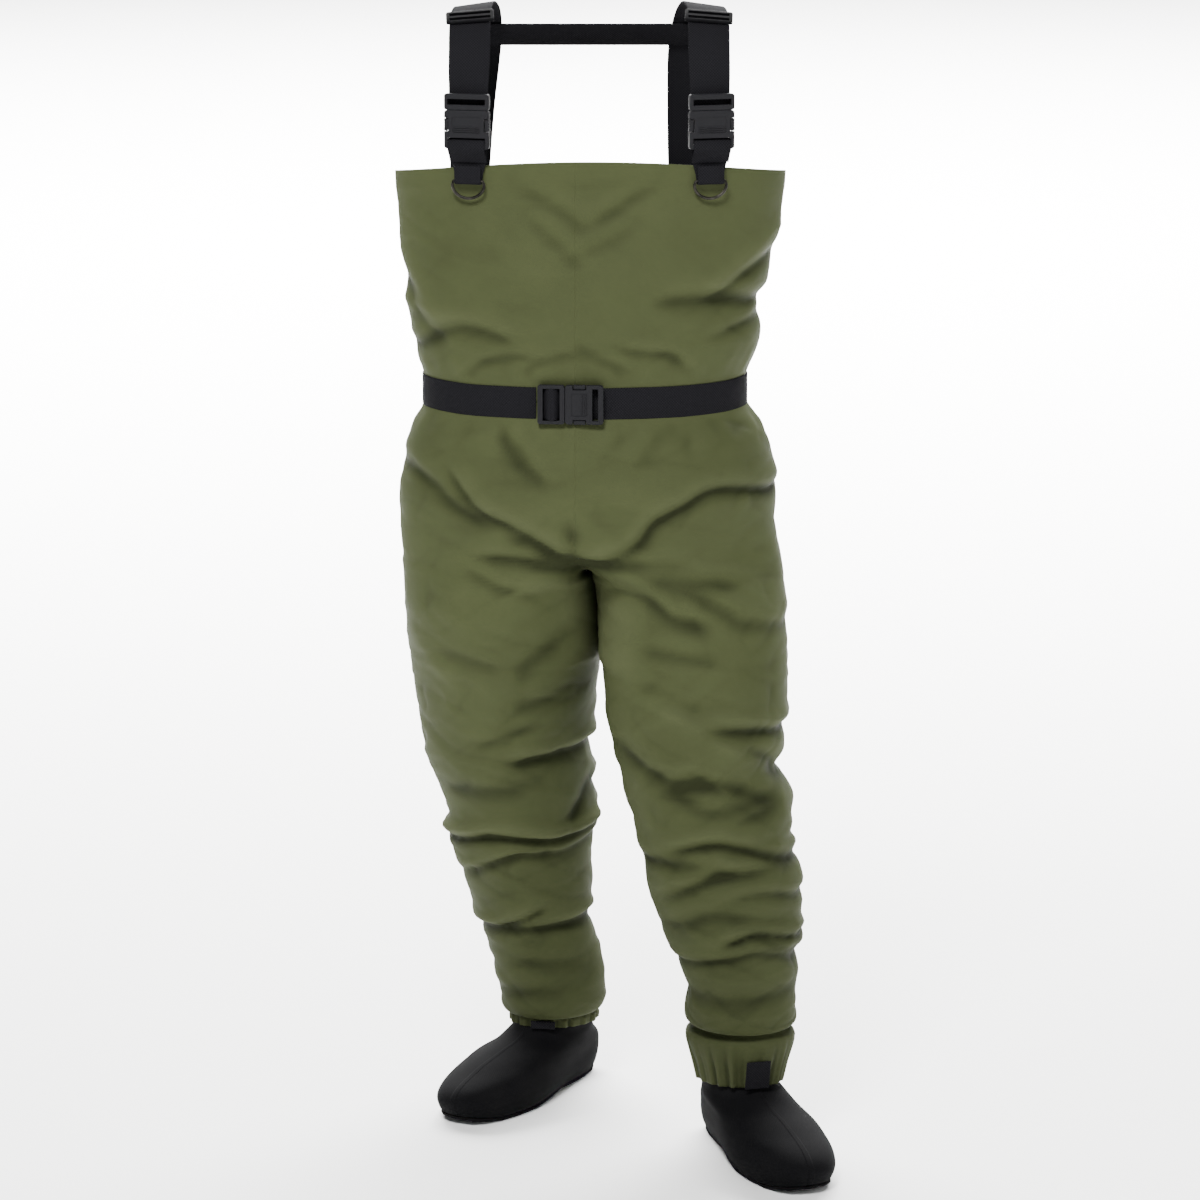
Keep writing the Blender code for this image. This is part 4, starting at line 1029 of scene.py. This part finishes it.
def webbing_strip(name, path, width, thickness, extra=False):
    """A woven tape along a path of places and width directions. An extra one stands for no solid."""
    half, flat = width / 2, thickness / 2
    right_side = [(half - flat, -flat), (half - 0.3 * flat, -0.7 * flat), (half, 0.0),
                  (half - 0.3 * flat, 0.7 * flat), (half - flat, flat)]
    left_side = [(-aside, -off) for aside, off in right_side]
    section = [left_side[-1], *right_side, *left_side[:-1]]
    count = len(section)
    points, faces, spread, lengths = [], [], [], [0.0]
    for k, (middle, across) in enumerate(path):
        before, after = path[max(k - 1, 0)][0], path[min(k + 1, len(path) - 1)][0]
        out = (after - before).cross(across).normalized()
        points += [middle + across * aside + out * off for aside, off in section]
        if k:
            lengths.append(lengths[-1] + (middle - before).length)
    for i in range(len(path) - 1):
        for k in range(count):
            after = (k + 1) % count
            faces.append((i * count + k, (i + 1) * count + k, (i + 1) * count + after, i * count + after))
            near, far = section[k][0], section[after][0]
            spread += [(lengths[i], near), (lengths[i + 1], near), (lengths[i + 1], far), (lengths[i], far)]
    last = (len(path) - 1) * count
    faces.append(tuple(range(count)))
    faces.append(tuple(last + k for k in reversed(range(count))))
    spread += [(0.0, aside) for aside, _ in section] * 2
    made = new_piece(name, points, faces, spread)
    edit_whole(made, bpy.ops.mesh.normals_make_consistent, inside=False)
    bpy.ops.object.shade_smooth_by_angle(angle=math.radians(50))
    made.data.materials.append(WOVEN_WEBBING)
    ride_on_waders(made, "webbing", *([] if extra else [name]))


def rounded_path(places, turns, steps):
    """A smooth path for a tape through some places, with its width directions there."""
    turned = [turn.normalized() for turn in rounded(turns, steps)]
    return list(zip(rounded(places, steps), turned))


def ruffle(turn):
    """How far the gathered hem swings out at a turn round the ankle, uneven in width and depth."""
    swing = math.sin(RUFFLES * turn + 1.3 * math.sin(3 * turn)) + 0.5 * math.sin(2 * RUFFLES * turn + 2.0)
    return swing * (0.7 + 0.3 * math.sin(5 * turn + 0.8))


WOVEN_WEBBING = woven_webbing()
GUARD_CLOTH = olive_cloth("guard_cloth", seam=False)
neck = SOCK[-1]
for side in SIDES:
    rows = rounded([np.array(row) for row in GUARDS[side]], GUARD_STEPS)
    loops, heights, ruffle_shading = [], [], []
    for front_z, back_z, off, gather in rows:
        loop_row = neck._replace(front_z=front_z, back_z=back_z)
        loop = []
        for k in range(GUARD_POINTS):
            turn = 2 * math.pi * k / GUARD_POINTS
            swing = ruffle(turn) * min(1.0, max(0.0, gather)) ** 2
            loop.append(sock_point(side, loop_row, turn, off + RUFFLE_SHARE * GATHER * swing))
            # Painted shade and highlight: each ruffle's hollow is kept darker and its crest paler in the fold
            # attribute.
            ruffle_shading.append(0.5 + RUFFLE_PAINTED_SHADE * swing)
        loops.append(loop)
        heights.append(front_z)
    guard = tube_mesh(f"gravel_guard_{side}", loops[::-1], heights[::-1], FOOT_GIRTH, turned=side == "right")
    fold = np.clip(np.array(ruffle_shading).reshape(len(rows), -1)[::-1].ravel(), 0.0, 1.0).astype(np.float32)
    guard.data.attributes.new("fold", "FLOAT", "POINT").data.foreach_set("value", fold)
    guard.data.shade_smooth()
    thicken(guard, SHELL_WALL)
    guard.data.materials.append(GUARD_CLOTH)
    ride_on_waders(guard, "olive_fabric", f"gravel_guard_{side}")

    first, second, last = GUARDS[side][-3:]
    top = GuardRow(*(a + (b - a) * GUARD_TAB_TOP[side] for a, b in zip(first, second)))
    front = math.pi + math.radians(GUARD_TAB_TURN[side])
    step = math.radians(8.0)
    tab_path = []
    for row in (top, second, last):
        loop_row = neck._replace(front_z=row.front_z, back_z=row.back_z)
        off = row.off + GATHER + SEAT_GAP + TAB_THICKNESS / 2
        across = sock_point(side, loop_row, front + step, off) - sock_point(side, loop_row, front - step, off)
        tab_path.append((sock_point(side, loop_row, front, off), across.normalized()))
    tab_path = rounded_path(*zip(*tab_path), TAB_STEPS)
    webbing_strip(f"guard_tab_{side}", tab_path, GUARD_TAB_WIDTH, TAB_THICKNESS)


# The wading belt is one length of 37 mm webbing round the waist, its ends led through the bars of a moulded
# side-release buckle: a hollow socket with a window in each side, and a plug whose two arms snap into them.
BELT_WIDTH = 0.037
BELT_THICKNESS = 0.0018
BELT_STEPS = 160
BUCKLE_OUT = -0.028
BUCKLE_LIFT = 0.0016
BELT_TUCK = 0.022
PLUG_TUCK = 0.034
LOOP_THICKNESS = 0.0011
BELT_LOOP_WIDTH = 0.036
BELT_LOOP = ((-0.0255, 0.0020), (-0.0225, 0.0060), (-0.0190, 0.0098), (-0.0160, 0.0100), (-0.0130, 0.0098),
             (-0.0095, 0.0060), (-0.0066, 0.0020))
LOOP_STEPS = 4
BELT_SAG = 0.0008
BELT_SAG_SIZE = 0.05
BELT_BUCKLE = 0.038
PLASTIC_COLOUR = (0.0112, 0.0111, 0.0126, 1.0)
PLASTIC_SHEEN = 0.10


def panel_frame(row, out, z, back=False, swell=0.0):
    """A frame on the torso's wall: X along it, to the right seen from the front, Y up, Z outwards."""
    lean = math.acos(out / (row.right if out > 0 else row.left))
    angle, step = (lean if back else -lean), math.radians(0.5)
    point = torso_point(row, angle, swell)
    along = torso_point(row, angle + step, swell) - torso_point(row, angle - step, swell)
    along.z = 0.0
    along.normalize()
    up = Vector((0.0, 0.0, 1.0))
    point.z = z
    panel = Matrix((along, up, along.cross(up))).transposed().to_4x4()
    panel.translation = point + BODY_MIDDLE
    return panel


def moulded_plastic(name, colour, sheen):
    """Moulded acetal: dark, with a fine spark-eroded grain and a slight sheen."""
    made, tree, shader = new_material(name)
    gloss = remapped(tree, mottle(tree, scale=60.0, detail=4.0), NOISE_RANGE, (0.56, 0.70))
    grain = bump(tree, mottle(tree, scale=1500.0, detail=2.0), strength=0.25, distance=0.0002)
    feed(tree, shader, {"Roughness": gloss, "Normal": grain})
    shader.inputs["Base Color"].default_value = colour
    shader.inputs["Specular IOR Level"].default_value = sheen
    return made


SATIN_PLASTIC = moulded_plastic("satin_plastic", PLASTIC_COLOUR, PLASTIC_SHEEN)

# The buckle's sizes in its own frame: X from the mouth towards the socket's bar, Y across and Z outwards.
BUCKLE_DEPTH = 0.009
BUCKLE_RIM = 0.004
BUCKLE_EDGE = 0.0011
BUCKLE_BAR = 0.006
BUCKLE_SLOT = 0.007
SOCKET_LENGTH = 0.032
SOCKET_WALL = 0.0022
SOCKET_CORNER = 0.0035
PLUG_CORNER = 0.0028
THROAT = 0.028
WINDOW = (0.009, 0.025)
WINDOW_INSET = 0.0055
WINDOW_CORNER = 0.0012
PANEL = (0.0075, 0.0265)
PANEL_INSET = 0.0095
PANEL_DEPTH = 0.0007
PANEL_CORNER = 0.002
RIBS = (0.0195, 0.0218, 0.0241)
RIB_WIDTH = 0.0012
RIB_INSET = 0.002
RIB_HEIGHTS = (-0.001, 0.0001)
RIB_EDGE = 0.0004
ARM_PLAY = 0.0008
ARM_SIDES = (0.0048, -0.0004)
ARM_INSET = 0.0012
ARM_EDGE = 0.0006
ROOT_SIDES = (0.008, 0.002)
ROOT_RUN = (-0.002, 0.012)
GRIPS = (0.0130, 0.0160, 0.0190)
GRIP_WIDTH = 0.0012
GRIP_SIDES = (0.0003, -0.002)
CUT_PAST = 0.001


def slab(name, low, high, corner=0.0, edge=0.0):
    """A moulded block between two places, its upright corners rounded first and then all its edges."""
    size, middle = Vector(high) - Vector(low), (Vector(high) + Vector(low)) / 2
    bpy.ops.object.select_all(action="DESELECT")
    bpy.ops.mesh.primitive_cube_add(size=1.0, location=middle, scale=size)
    made = bpy.context.object
    made.name = name
    bpy.ops.object.transform_apply(location=True, rotation=False, scale=True)
    bpy.ops.object.mode_set(mode="EDIT")
    if corner:
        shape = bmesh.from_edit_mesh(made.data)
        bpy.ops.mesh.select_all(action="DESELECT")
        for line in shape.edges:
            line.select_set(abs(line.verts[0].co.z - line.verts[1].co.z) > size.z / 2)
        bmesh.update_edit_mesh(made.data)
        bpy.ops.mesh.bevel(offset=corner, segments=4, affect="EDGES")
    if edge:
        bpy.ops.mesh.select_mode(type="EDGE")
        bpy.ops.mesh.select_all(action="DESELECT")
        bpy.ops.mesh.edges_select_sharp(sharpness=math.radians(50))
        bpy.ops.mesh.bevel(offset=edge, segments=3, affect="EDGES")
    bpy.ops.object.mode_set(mode="OBJECT")
    return made


def cut_out(piece, cutter):
    """Cuts one block's form out of a piece."""
    cut = piece.modifiers.new("cut", "BOOLEAN")
    cut.operation = "DIFFERENCE"
    cut.object = cutter
    cut.solver = "EXACT"
    apply_modifiers(piece)
    bpy.data.objects.remove(cutter)


def cut_through(piece, along, across, corner=0.0):
    """Cuts an upright hole through a flat piece, between two places along it and two across."""
    low = (along[0], min(across), -CUT_PAST)
    high = (along[1], max(across), BUCKLE_DEPTH + CUT_PAST)
    cut_out(piece, slab("hole", low, high, corner))


def join_pieces(pieces):
    """Joins several pieces into the first."""
    pick(*pieces)
    bpy.ops.object.join()
    return pieces[0]


def set_in_place(piece, panel, material):
    """Lays a finished piece into its frame on the garment."""
    piece.data.transform(panel)
    pick(piece)
    bpy.ops.object.shade_smooth_by_angle(angle=math.radians(35))
    piece.data.materials.clear()
    piece.data.materials.append(material)


def buckle_socket(name, panel, webbing):
    """A buckle's hollow half: a throat, a window in each side, a ribbed panel and a bar for the webbing."""
    half, middle = webbing / 2 + BUCKLE_RIM, webbing / 2
    bar_start = SOCKET_LENGTH + BUCKLE_SLOT
    end = (bar_start + BUCKLE_BAR, half, BUCKLE_DEPTH)
    socket = slab(name, (0, -half, 0), end, SOCKET_CORNER, BUCKLE_EDGE)
    low, high = (-CUT_PAST, -middle, SOCKET_WALL), (THROAT, middle, BUCKLE_DEPTH - SOCKET_WALL)
    cut_out(socket, slab("throat", low, high))
    cut_through(socket, (SOCKET_LENGTH, bar_start), (-middle, middle))
    for sign in (-1, 1):
        cut_through(socket, WINDOW, (sign * (half - WINDOW_INSET), sign * (half + CUT_PAST)), WINDOW_CORNER)
    side = half - PANEL_INSET
    low, high = (PANEL[0], -side, BUCKLE_DEPTH - PANEL_DEPTH), (PANEL[1], side, BUCKLE_DEPTH + CUT_PAST)
    cut_out(socket, slab("panel", low, high, PANEL_CORNER))
    side -= RIB_INSET
    foot, top = (BUCKLE_DEPTH + height for height in RIB_HEIGHTS)
    ribs = [slab("rib", (x, -side, foot), (x + RIB_WIDTH, side, top), 0.0, RIB_EDGE) for x in RIBS]
    socket = join_pieces([socket, *ribs])
    set_in_place(socket, panel, SATIN_PLASTIC)
    ride_on_waders(socket, "buckle_plastic", name)


def buckle_plug(name, panel, webbing, slots):
    """A buckle's other half: bars for the webbing and two arms that reach into the socket's windows."""
    half, middle = webbing / 2 + BUCKLE_RIM, webbing / 2
    pitch = BUCKLE_SLOT + BUCKLE_BAR
    reach = BUCKLE_BAR + pitch * slots
    plug = slab(name, (-reach, -half, 0), (-SEAT_GAP, half, BUCKLE_DEPTH), PLUG_CORNER, BUCKLE_EDGE)
    for k in range(slots):
        start = -reach + BUCKLE_BAR + pitch * k
        cut_through(plug, (start, start + BUCKLE_SLOT), (-middle, middle))
    arms = []
    for sign in (-1, 1):
        near, far = sorted(sign * (half - inset) for inset in ARM_SIDES)
        low = (WINDOW[0] + ARM_PLAY, near, ARM_INSET)
        high = (WINDOW[1] - ARM_PLAY, far, BUCKLE_DEPTH - ARM_INSET)
        arm = slab("arm", low, high, WINDOW_CORNER, ARM_EDGE)
        near, far = sorted(sign * (half - inset) for inset in GRIP_SIDES)
        for start in GRIPS:
            cut_out(arm, slab("grip", (start, near, 0.0), (start + GRIP_WIDTH, far, BUCKLE_DEPTH)))
        near, far = sorted(sign * (middle - inset) for inset in ROOT_SIDES)
        low = (ROOT_RUN[0], near, SOCKET_WALL + SEAT_GAP)
        high = (ROOT_RUN[1], far, BUCKLE_DEPTH - SOCKET_WALL - SEAT_GAP)
        arms += [arm, slab("root", low, high)]
    plug = join_pieces([plug, *arms])
    set_in_place(plug, panel, SATIN_PLASTIC)
    ride_on_waders(plug, "buckle_plastic", name)


def side_release_buckle(name, panel, webbing, slots=1):
    """A side-release buckle in its own frame, pulled along X: the socket right, the plug left."""
    buckle_socket(f"{name}_socket", panel, webbing)
    buckle_plug(f"{name}_plug", panel, webbing, slots)


waist = TORSO["waist"]
belt_ends = [math.acos(out / (waist.right if out > 0 else waist.left))
             for out in (BUCKLE_OUT + BELT_TUCK, BUCKLE_OUT - PLUG_TUCK)]
belt_path = []
for k in range(BELT_STEPS + 1):
    turn = -belt_ends[0] + (2 * math.pi - belt_ends[1] + belt_ends[0]) * k / BELT_STEPS
    middle = torso_point(waist, turn, SEAT_GAP + BELT_THICKNESS / 2) + BODY_MIDDLE
    sag = BELT_SAG * noise.noise((middle.x / BELT_SAG_SIZE, middle.y / BELT_SAG_SIZE, 5.0))
    belt_path.append((middle + Vector((0.0, 0.0, sag)), Vector((0.0, 0.0, 1.0))))
webbing_strip("belt_webbing", belt_path, BELT_WIDTH, BELT_THICKNESS)
belt_panel = panel_frame(waist, BUCKLE_OUT, waist.front_z)
belt_panel.translation += belt_panel.to_3x3().col[2] * BUCKLE_LIFT
side_release_buckle("belt_buckle", belt_panel, BELT_BUCKLE, slots=2)
loop_places = rounded([belt_panel @ Vector((out, 0.0, lift)) for out, lift in BELT_LOOP], LOOP_STEPS)
loop_path = [(spot, Vector((0.0, 0.0, 1.0))) for spot in loop_places]
webbing_strip("belt_loop", loop_path, BELT_LOOP_WIDTH, LOOP_THICKNESS, extra=True)


# The suspenders are 48 mm elastic webbing, sewn to the outside of the bib's back and led over the shoulder
# through a slide to a buckle. Its socket hangs on a tab sewn to the bib's front, which also holds a loose
# metal D ring.
STRAP_WIDTH = 0.048
STRAP_THICKNESS = 0.002
STRAP_OUT = 0.139
STRAP_FOOT_Z = 1.241
STRAP_FOOT_OFF = 0.0012
STRAP_FOOT_RUN = 0.024
STRAP_STEPS = 9
STRAP_BACK_OUT = {"left": 0.145, "right": 0.119}
STRAP_BACK_HIGH = 0.012
STRAP_BACK_LOW = 0.042
BUCKLE_MOUTH_UP = 0.083
BUCKLE_OFF = 0.0028
TAB_WIDTH = 0.032
TAB_TOP_WIDTH = 0.044
TAB_FLARE = 0.030
TAB_LOOP = ((0.0333, 0.0008), (0.0340, 0.0045), (0.0361, 0.0086), (0.0400, 0.0104), (0.0435, 0.0104),
            (0.0475, 0.0088), (0.0530, 0.0046), (0.0580, 0.0014), (0.0610, 0.0003))
TAB_LOOP_WIDTH = 0.045
TAB_BACK = (0.058, 0.044, 0.030, 0.022, 0.015, 0.008, 0.0)
TAB_FRONT = (0.006, 0.012, 0.018)
TAB_BEND_STEPS = 12
TAB_BAR_Z = 1.155
STRAP_BUCKLE = 0.046
RING_WIRE = 0.0036
RING_PLAY = 0.0004
RING_INNER = 0.035
RING_BAR = (-0.92, -0.5, 0.0, 0.5, 0.92)
RING_SHOULDER = 0.004
RING_DROP = 0.020
RING_STEPS = 32
PLATING = (0.018, 0.017, 0.015, 1.0)
RUBBED_PLATING = (0.060, 0.056, 0.047, 1.0)
SLIDE_RIM = 0.004
SLIDE_PLACE = 7
SLIDE_LENGTH = 0.022
SLIDE_DEPTH = 0.0035
SLIDE_BAR = 0.004
SLIDE_CORNER = 0.003
SLIDE_EDGE = 0.0009
SLIDE_LIFT = 0.0006
SLIDE_COLOUR = (0.0045, 0.0045, 0.0052, 1.0)
SLIDE_SHEEN = 0.03
CROSS_WIDTH = 0.034
CROSS_ROW = 7
CROSS_GAP = 0.0024
CROSS_INSET = 0.006
CROSS_STEPS = 40

StrapRow = namedtuple("StrapRow", "left right y z roll")
STRAP = (
    StrapRow(0.139, 0.139, -0.086, 1.303, 0.0),
    StrapRow(0.139, 0.139, -0.067, 1.329, 3.0),
    StrapRow(0.138, 0.138, -0.036, 1.347, 6.0),
    StrapRow(0.134, 0.133, 0.000, 1.352, 8.0),
    StrapRow(0.129, 0.126, 0.038, 1.340, 5.0),
    StrapRow(0.128, 0.120, 0.066, 1.314, 0.0),
    StrapRow(0.131, 0.117, 0.084, 1.280, 0.0),
    StrapRow(0.138, 0.117, 0.099, 1.220, 0.0),
    StrapRow(0.143, 0.118, 0.108, 1.160, 0.0),
)


def ring_metal():
    """Steel wire with a dark plating, rubbed brighter where it swings."""
    made, tree, shader = new_material("plated_ring")
    rub = mottle(tree, scale=90.0, detail=4.0)
    tone = tone_ramp(tree, rub, (0.4, PLATING), (0.75, RUBBED_PLATING))
    feed(tree, shader, {"Base Color": tone})
    shader.inputs["Metallic"].default_value = 1.0
    shader.inputs["Roughness"].default_value = 0.48
    return made


def strap_rows(side):
    """The strap's route as places and width directions, from its buckle to the back of the bib."""
    sign, collar = SIGN[side], TORSO["collar"]
    front = panel_frame(collar, sign * STRAP_OUT, STRAP_FOOT_Z, swell=HEM_STEP)
    foot = front.translation + front.to_3x3().col[2] * STRAP_FOOT_OFF
    places = [foot, foot + Vector((0.0, 0.001, STRAP_FOOT_RUN))]
    turns = [front.to_3x3().col[0].copy(), front.to_3x3().col[0].copy()]
    for row in STRAP:
        roll = math.radians(row.roll)
        reach = row.left if side == "left" else row.right
        places.append(BODY_MIDDLE + Vector((sign * reach, row.y, row.z)))
        turns.append(Vector((math.cos(roll), 0.0, -sign * math.sin(roll))))
    back = panel_frame(collar, sign * STRAP_BACK_OUT[side], 0.0, back=True, swell=HEM_STEP)
    seat = back.translation + back.to_3x3().col[2] * (SEAT_GAP + STRAP_THICKNESS / 2)
    for z in (collar.back_z + STRAP_BACK_HIGH, collar.back_z - STRAP_BACK_LOW):
        places.append(Vector((seat.x, seat.y, z)))
        turns.append(-back.to_3x3().col[0])
    return places, turns


PLATED_RING = ring_metal()
DULL_PLASTIC = moulded_plastic("dull_plastic", SLIDE_COLOUR, SLIDE_SHEEN)
for side in SIDES:
    tab_panel = panel_frame(TORSO["collar"], SIGN[side] * STRAP_OUT, TAB_BAR_Z, swell=HEM_STEP)
    face = SEAT_GAP + TAB_THICKNESS / 2
    bend = RING_WIRE / 2 + RING_PLAY + TAB_THICKNESS / 2
    ring_out = face + bend
    tab_across = tab_panel.to_3x3().col[0].copy()
    profile = []
    for height in TAB_BACK:
        flare = 1 + (TAB_TOP_WIDTH / TAB_WIDTH - 1) * smoothstep(0.0, TAB_FLARE, height)
        profile.append((Vector((0.0, height, face)), tab_across * flare))
    for k in range(1, TAB_BEND_STEPS + 1):
        swing = math.pi * k / TAB_BEND_STEPS
        round_ring = Vector((0.0, -bend * math.sin(swing), ring_out - bend * math.cos(swing)))
        profile.append((round_ring, tab_across))
    profile += [(Vector((0.0, height, ring_out + bend)), tab_across) for height in TAB_FRONT]
    tab_path = [(tab_panel @ point, across) for point, across in profile]
    webbing_strip(f"anchor_tab_{side}", tab_path, TAB_WIDTH, TAB_THICKNESS)

    reach = RING_INNER / 2 + RING_WIRE / 2
    wire = bpy.data.curves.new(f"d_ring_{side}", "CURVE")
    wire.dimensions = "3D"
    wire.bevel_depth = RING_WIRE / 2
    wire.bevel_resolution = 4
    route = [Vector((reach * share, 0.0, ring_out)) for share in RING_BAR]
    for k in range(RING_STEPS + 1):
        swing = -math.pi * k / RING_STEPS
        drop = -RING_SHOULDER + (RING_DROP - RING_SHOULDER) * math.sin(swing)
        route.append(Vector((reach * math.cos(swing), drop, ring_out)))
    spline = wire.splines.new("POLY")
    spline.points.add(len(route) - 1)
    for point, spot in zip(spline.points, route):
        point.co = (*(tab_panel @ spot), 1.0)
    spline.use_cyclic_u = True
    ring = bpy.data.objects.new(f"d_ring_{side}", wire)
    bpy.context.collection.objects.link(ring)
    pick(ring)
    bpy.ops.object.convert(target="MESH")
    ring = bpy.context.object
    ring.data.shade_smooth()
    ring.data.materials.append(PLATED_RING)
    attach(ring, f"d_ring_{side}")
    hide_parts(f"d_ring_{side}")

    buckle_panel = tab_panel @ Matrix.Translation((0.0, BUCKLE_MOUTH_UP, BUCKLE_OFF))
    buckle_panel = buckle_panel @ Matrix.Rotation(math.radians(-90), 4, "Z")
    side_release_buckle(f"strap_buckle_{side}", buckle_panel, STRAP_BUCKLE)
    loop_places = rounded([buckle_panel @ Vector((out, 0.0, lift)) for out, lift in TAB_LOOP], LOOP_STEPS)
    loop_path = [(spot, tab_across) for spot in loop_places]
    webbing_strip(f"tab_loop_{side}", loop_path, TAB_LOOP_WIDTH, LOOP_THICKNESS, extra=True)

    places, turns = strap_rows(side)
    strap_path = rounded_path(places, turns, STRAP_STEPS)
    webbing_strip(f"strap_{side}", strap_path, STRAP_WIDTH, STRAP_THICKNESS)

    low, middle, high = rounded(places, 2)[SLIDE_PLACE - 1 : SLIDE_PLACE + 2]
    across = rounded(turns, 2)[SLIDE_PLACE].normalized()
    normal = across.cross((high - low).normalized()).normalized()
    if normal.y > 0:
        normal, across = -normal, -across
    slide_panel = Matrix((across, normal.cross(across), normal)).transposed().to_4x4()
    slide_panel.translation = middle + normal * (STRAP_THICKNESS / 2 + SLIDE_LIFT)
    slide_side, slide_end = STRAP_WIDTH / 2 + SLIDE_RIM, SLIDE_LENGTH / 2
    low, high = (-slide_side, -slide_end, 0), (slide_side, slide_end, SLIDE_DEPTH)
    slide = slab(f"strap_adjuster_{side}", low, high, SLIDE_CORNER, SLIDE_EDGE)
    for sign in (-1, 1):
        slot_ends = (sign * SLIDE_BAR / 2, sign * (slide_end - SLIDE_BAR))
        cut_through(slide, (-STRAP_WIDTH / 2, STRAP_WIDTH / 2), slot_ends)
    set_in_place(slide, slide_panel, DULL_PLASTIC)
    ride_on_waders(slide, "buckle_plastic", f"strap_adjuster_{side}")

# A narrower band joins the two straps behind the shoulders, sewn to their inner faces.
places, _ = strap_rows("right")
before, here, after = places[CROSS_ROW - 1], places[CROSS_ROW], places[CROSS_ROW + 1]
along = after - before
along.x = 0.0
along.normalize()
inwards = along.cross(Vector((1.0, 0.0, 0.0)))
if inwards.y > 0:
    inwards = -inwards
middle = here + inwards * (STRAP_THICKNESS + CROSS_GAP)
cross_end = STRAP_WIDTH / 2 - CROSS_INSET
right_end = here.x + cross_end
left_end = strap_rows("left")[0][CROSS_ROW].x - cross_end
cross_path = []
for k in range(CROSS_STEPS + 1):
    x = left_end + (right_end - left_end) * k / CROSS_STEPS
    cross_path.append((Vector((x, middle.y, middle.z)), along))
webbing_strip("cross_strap", cross_path, CROSS_WIDTH, STRAP_THICKNESS)
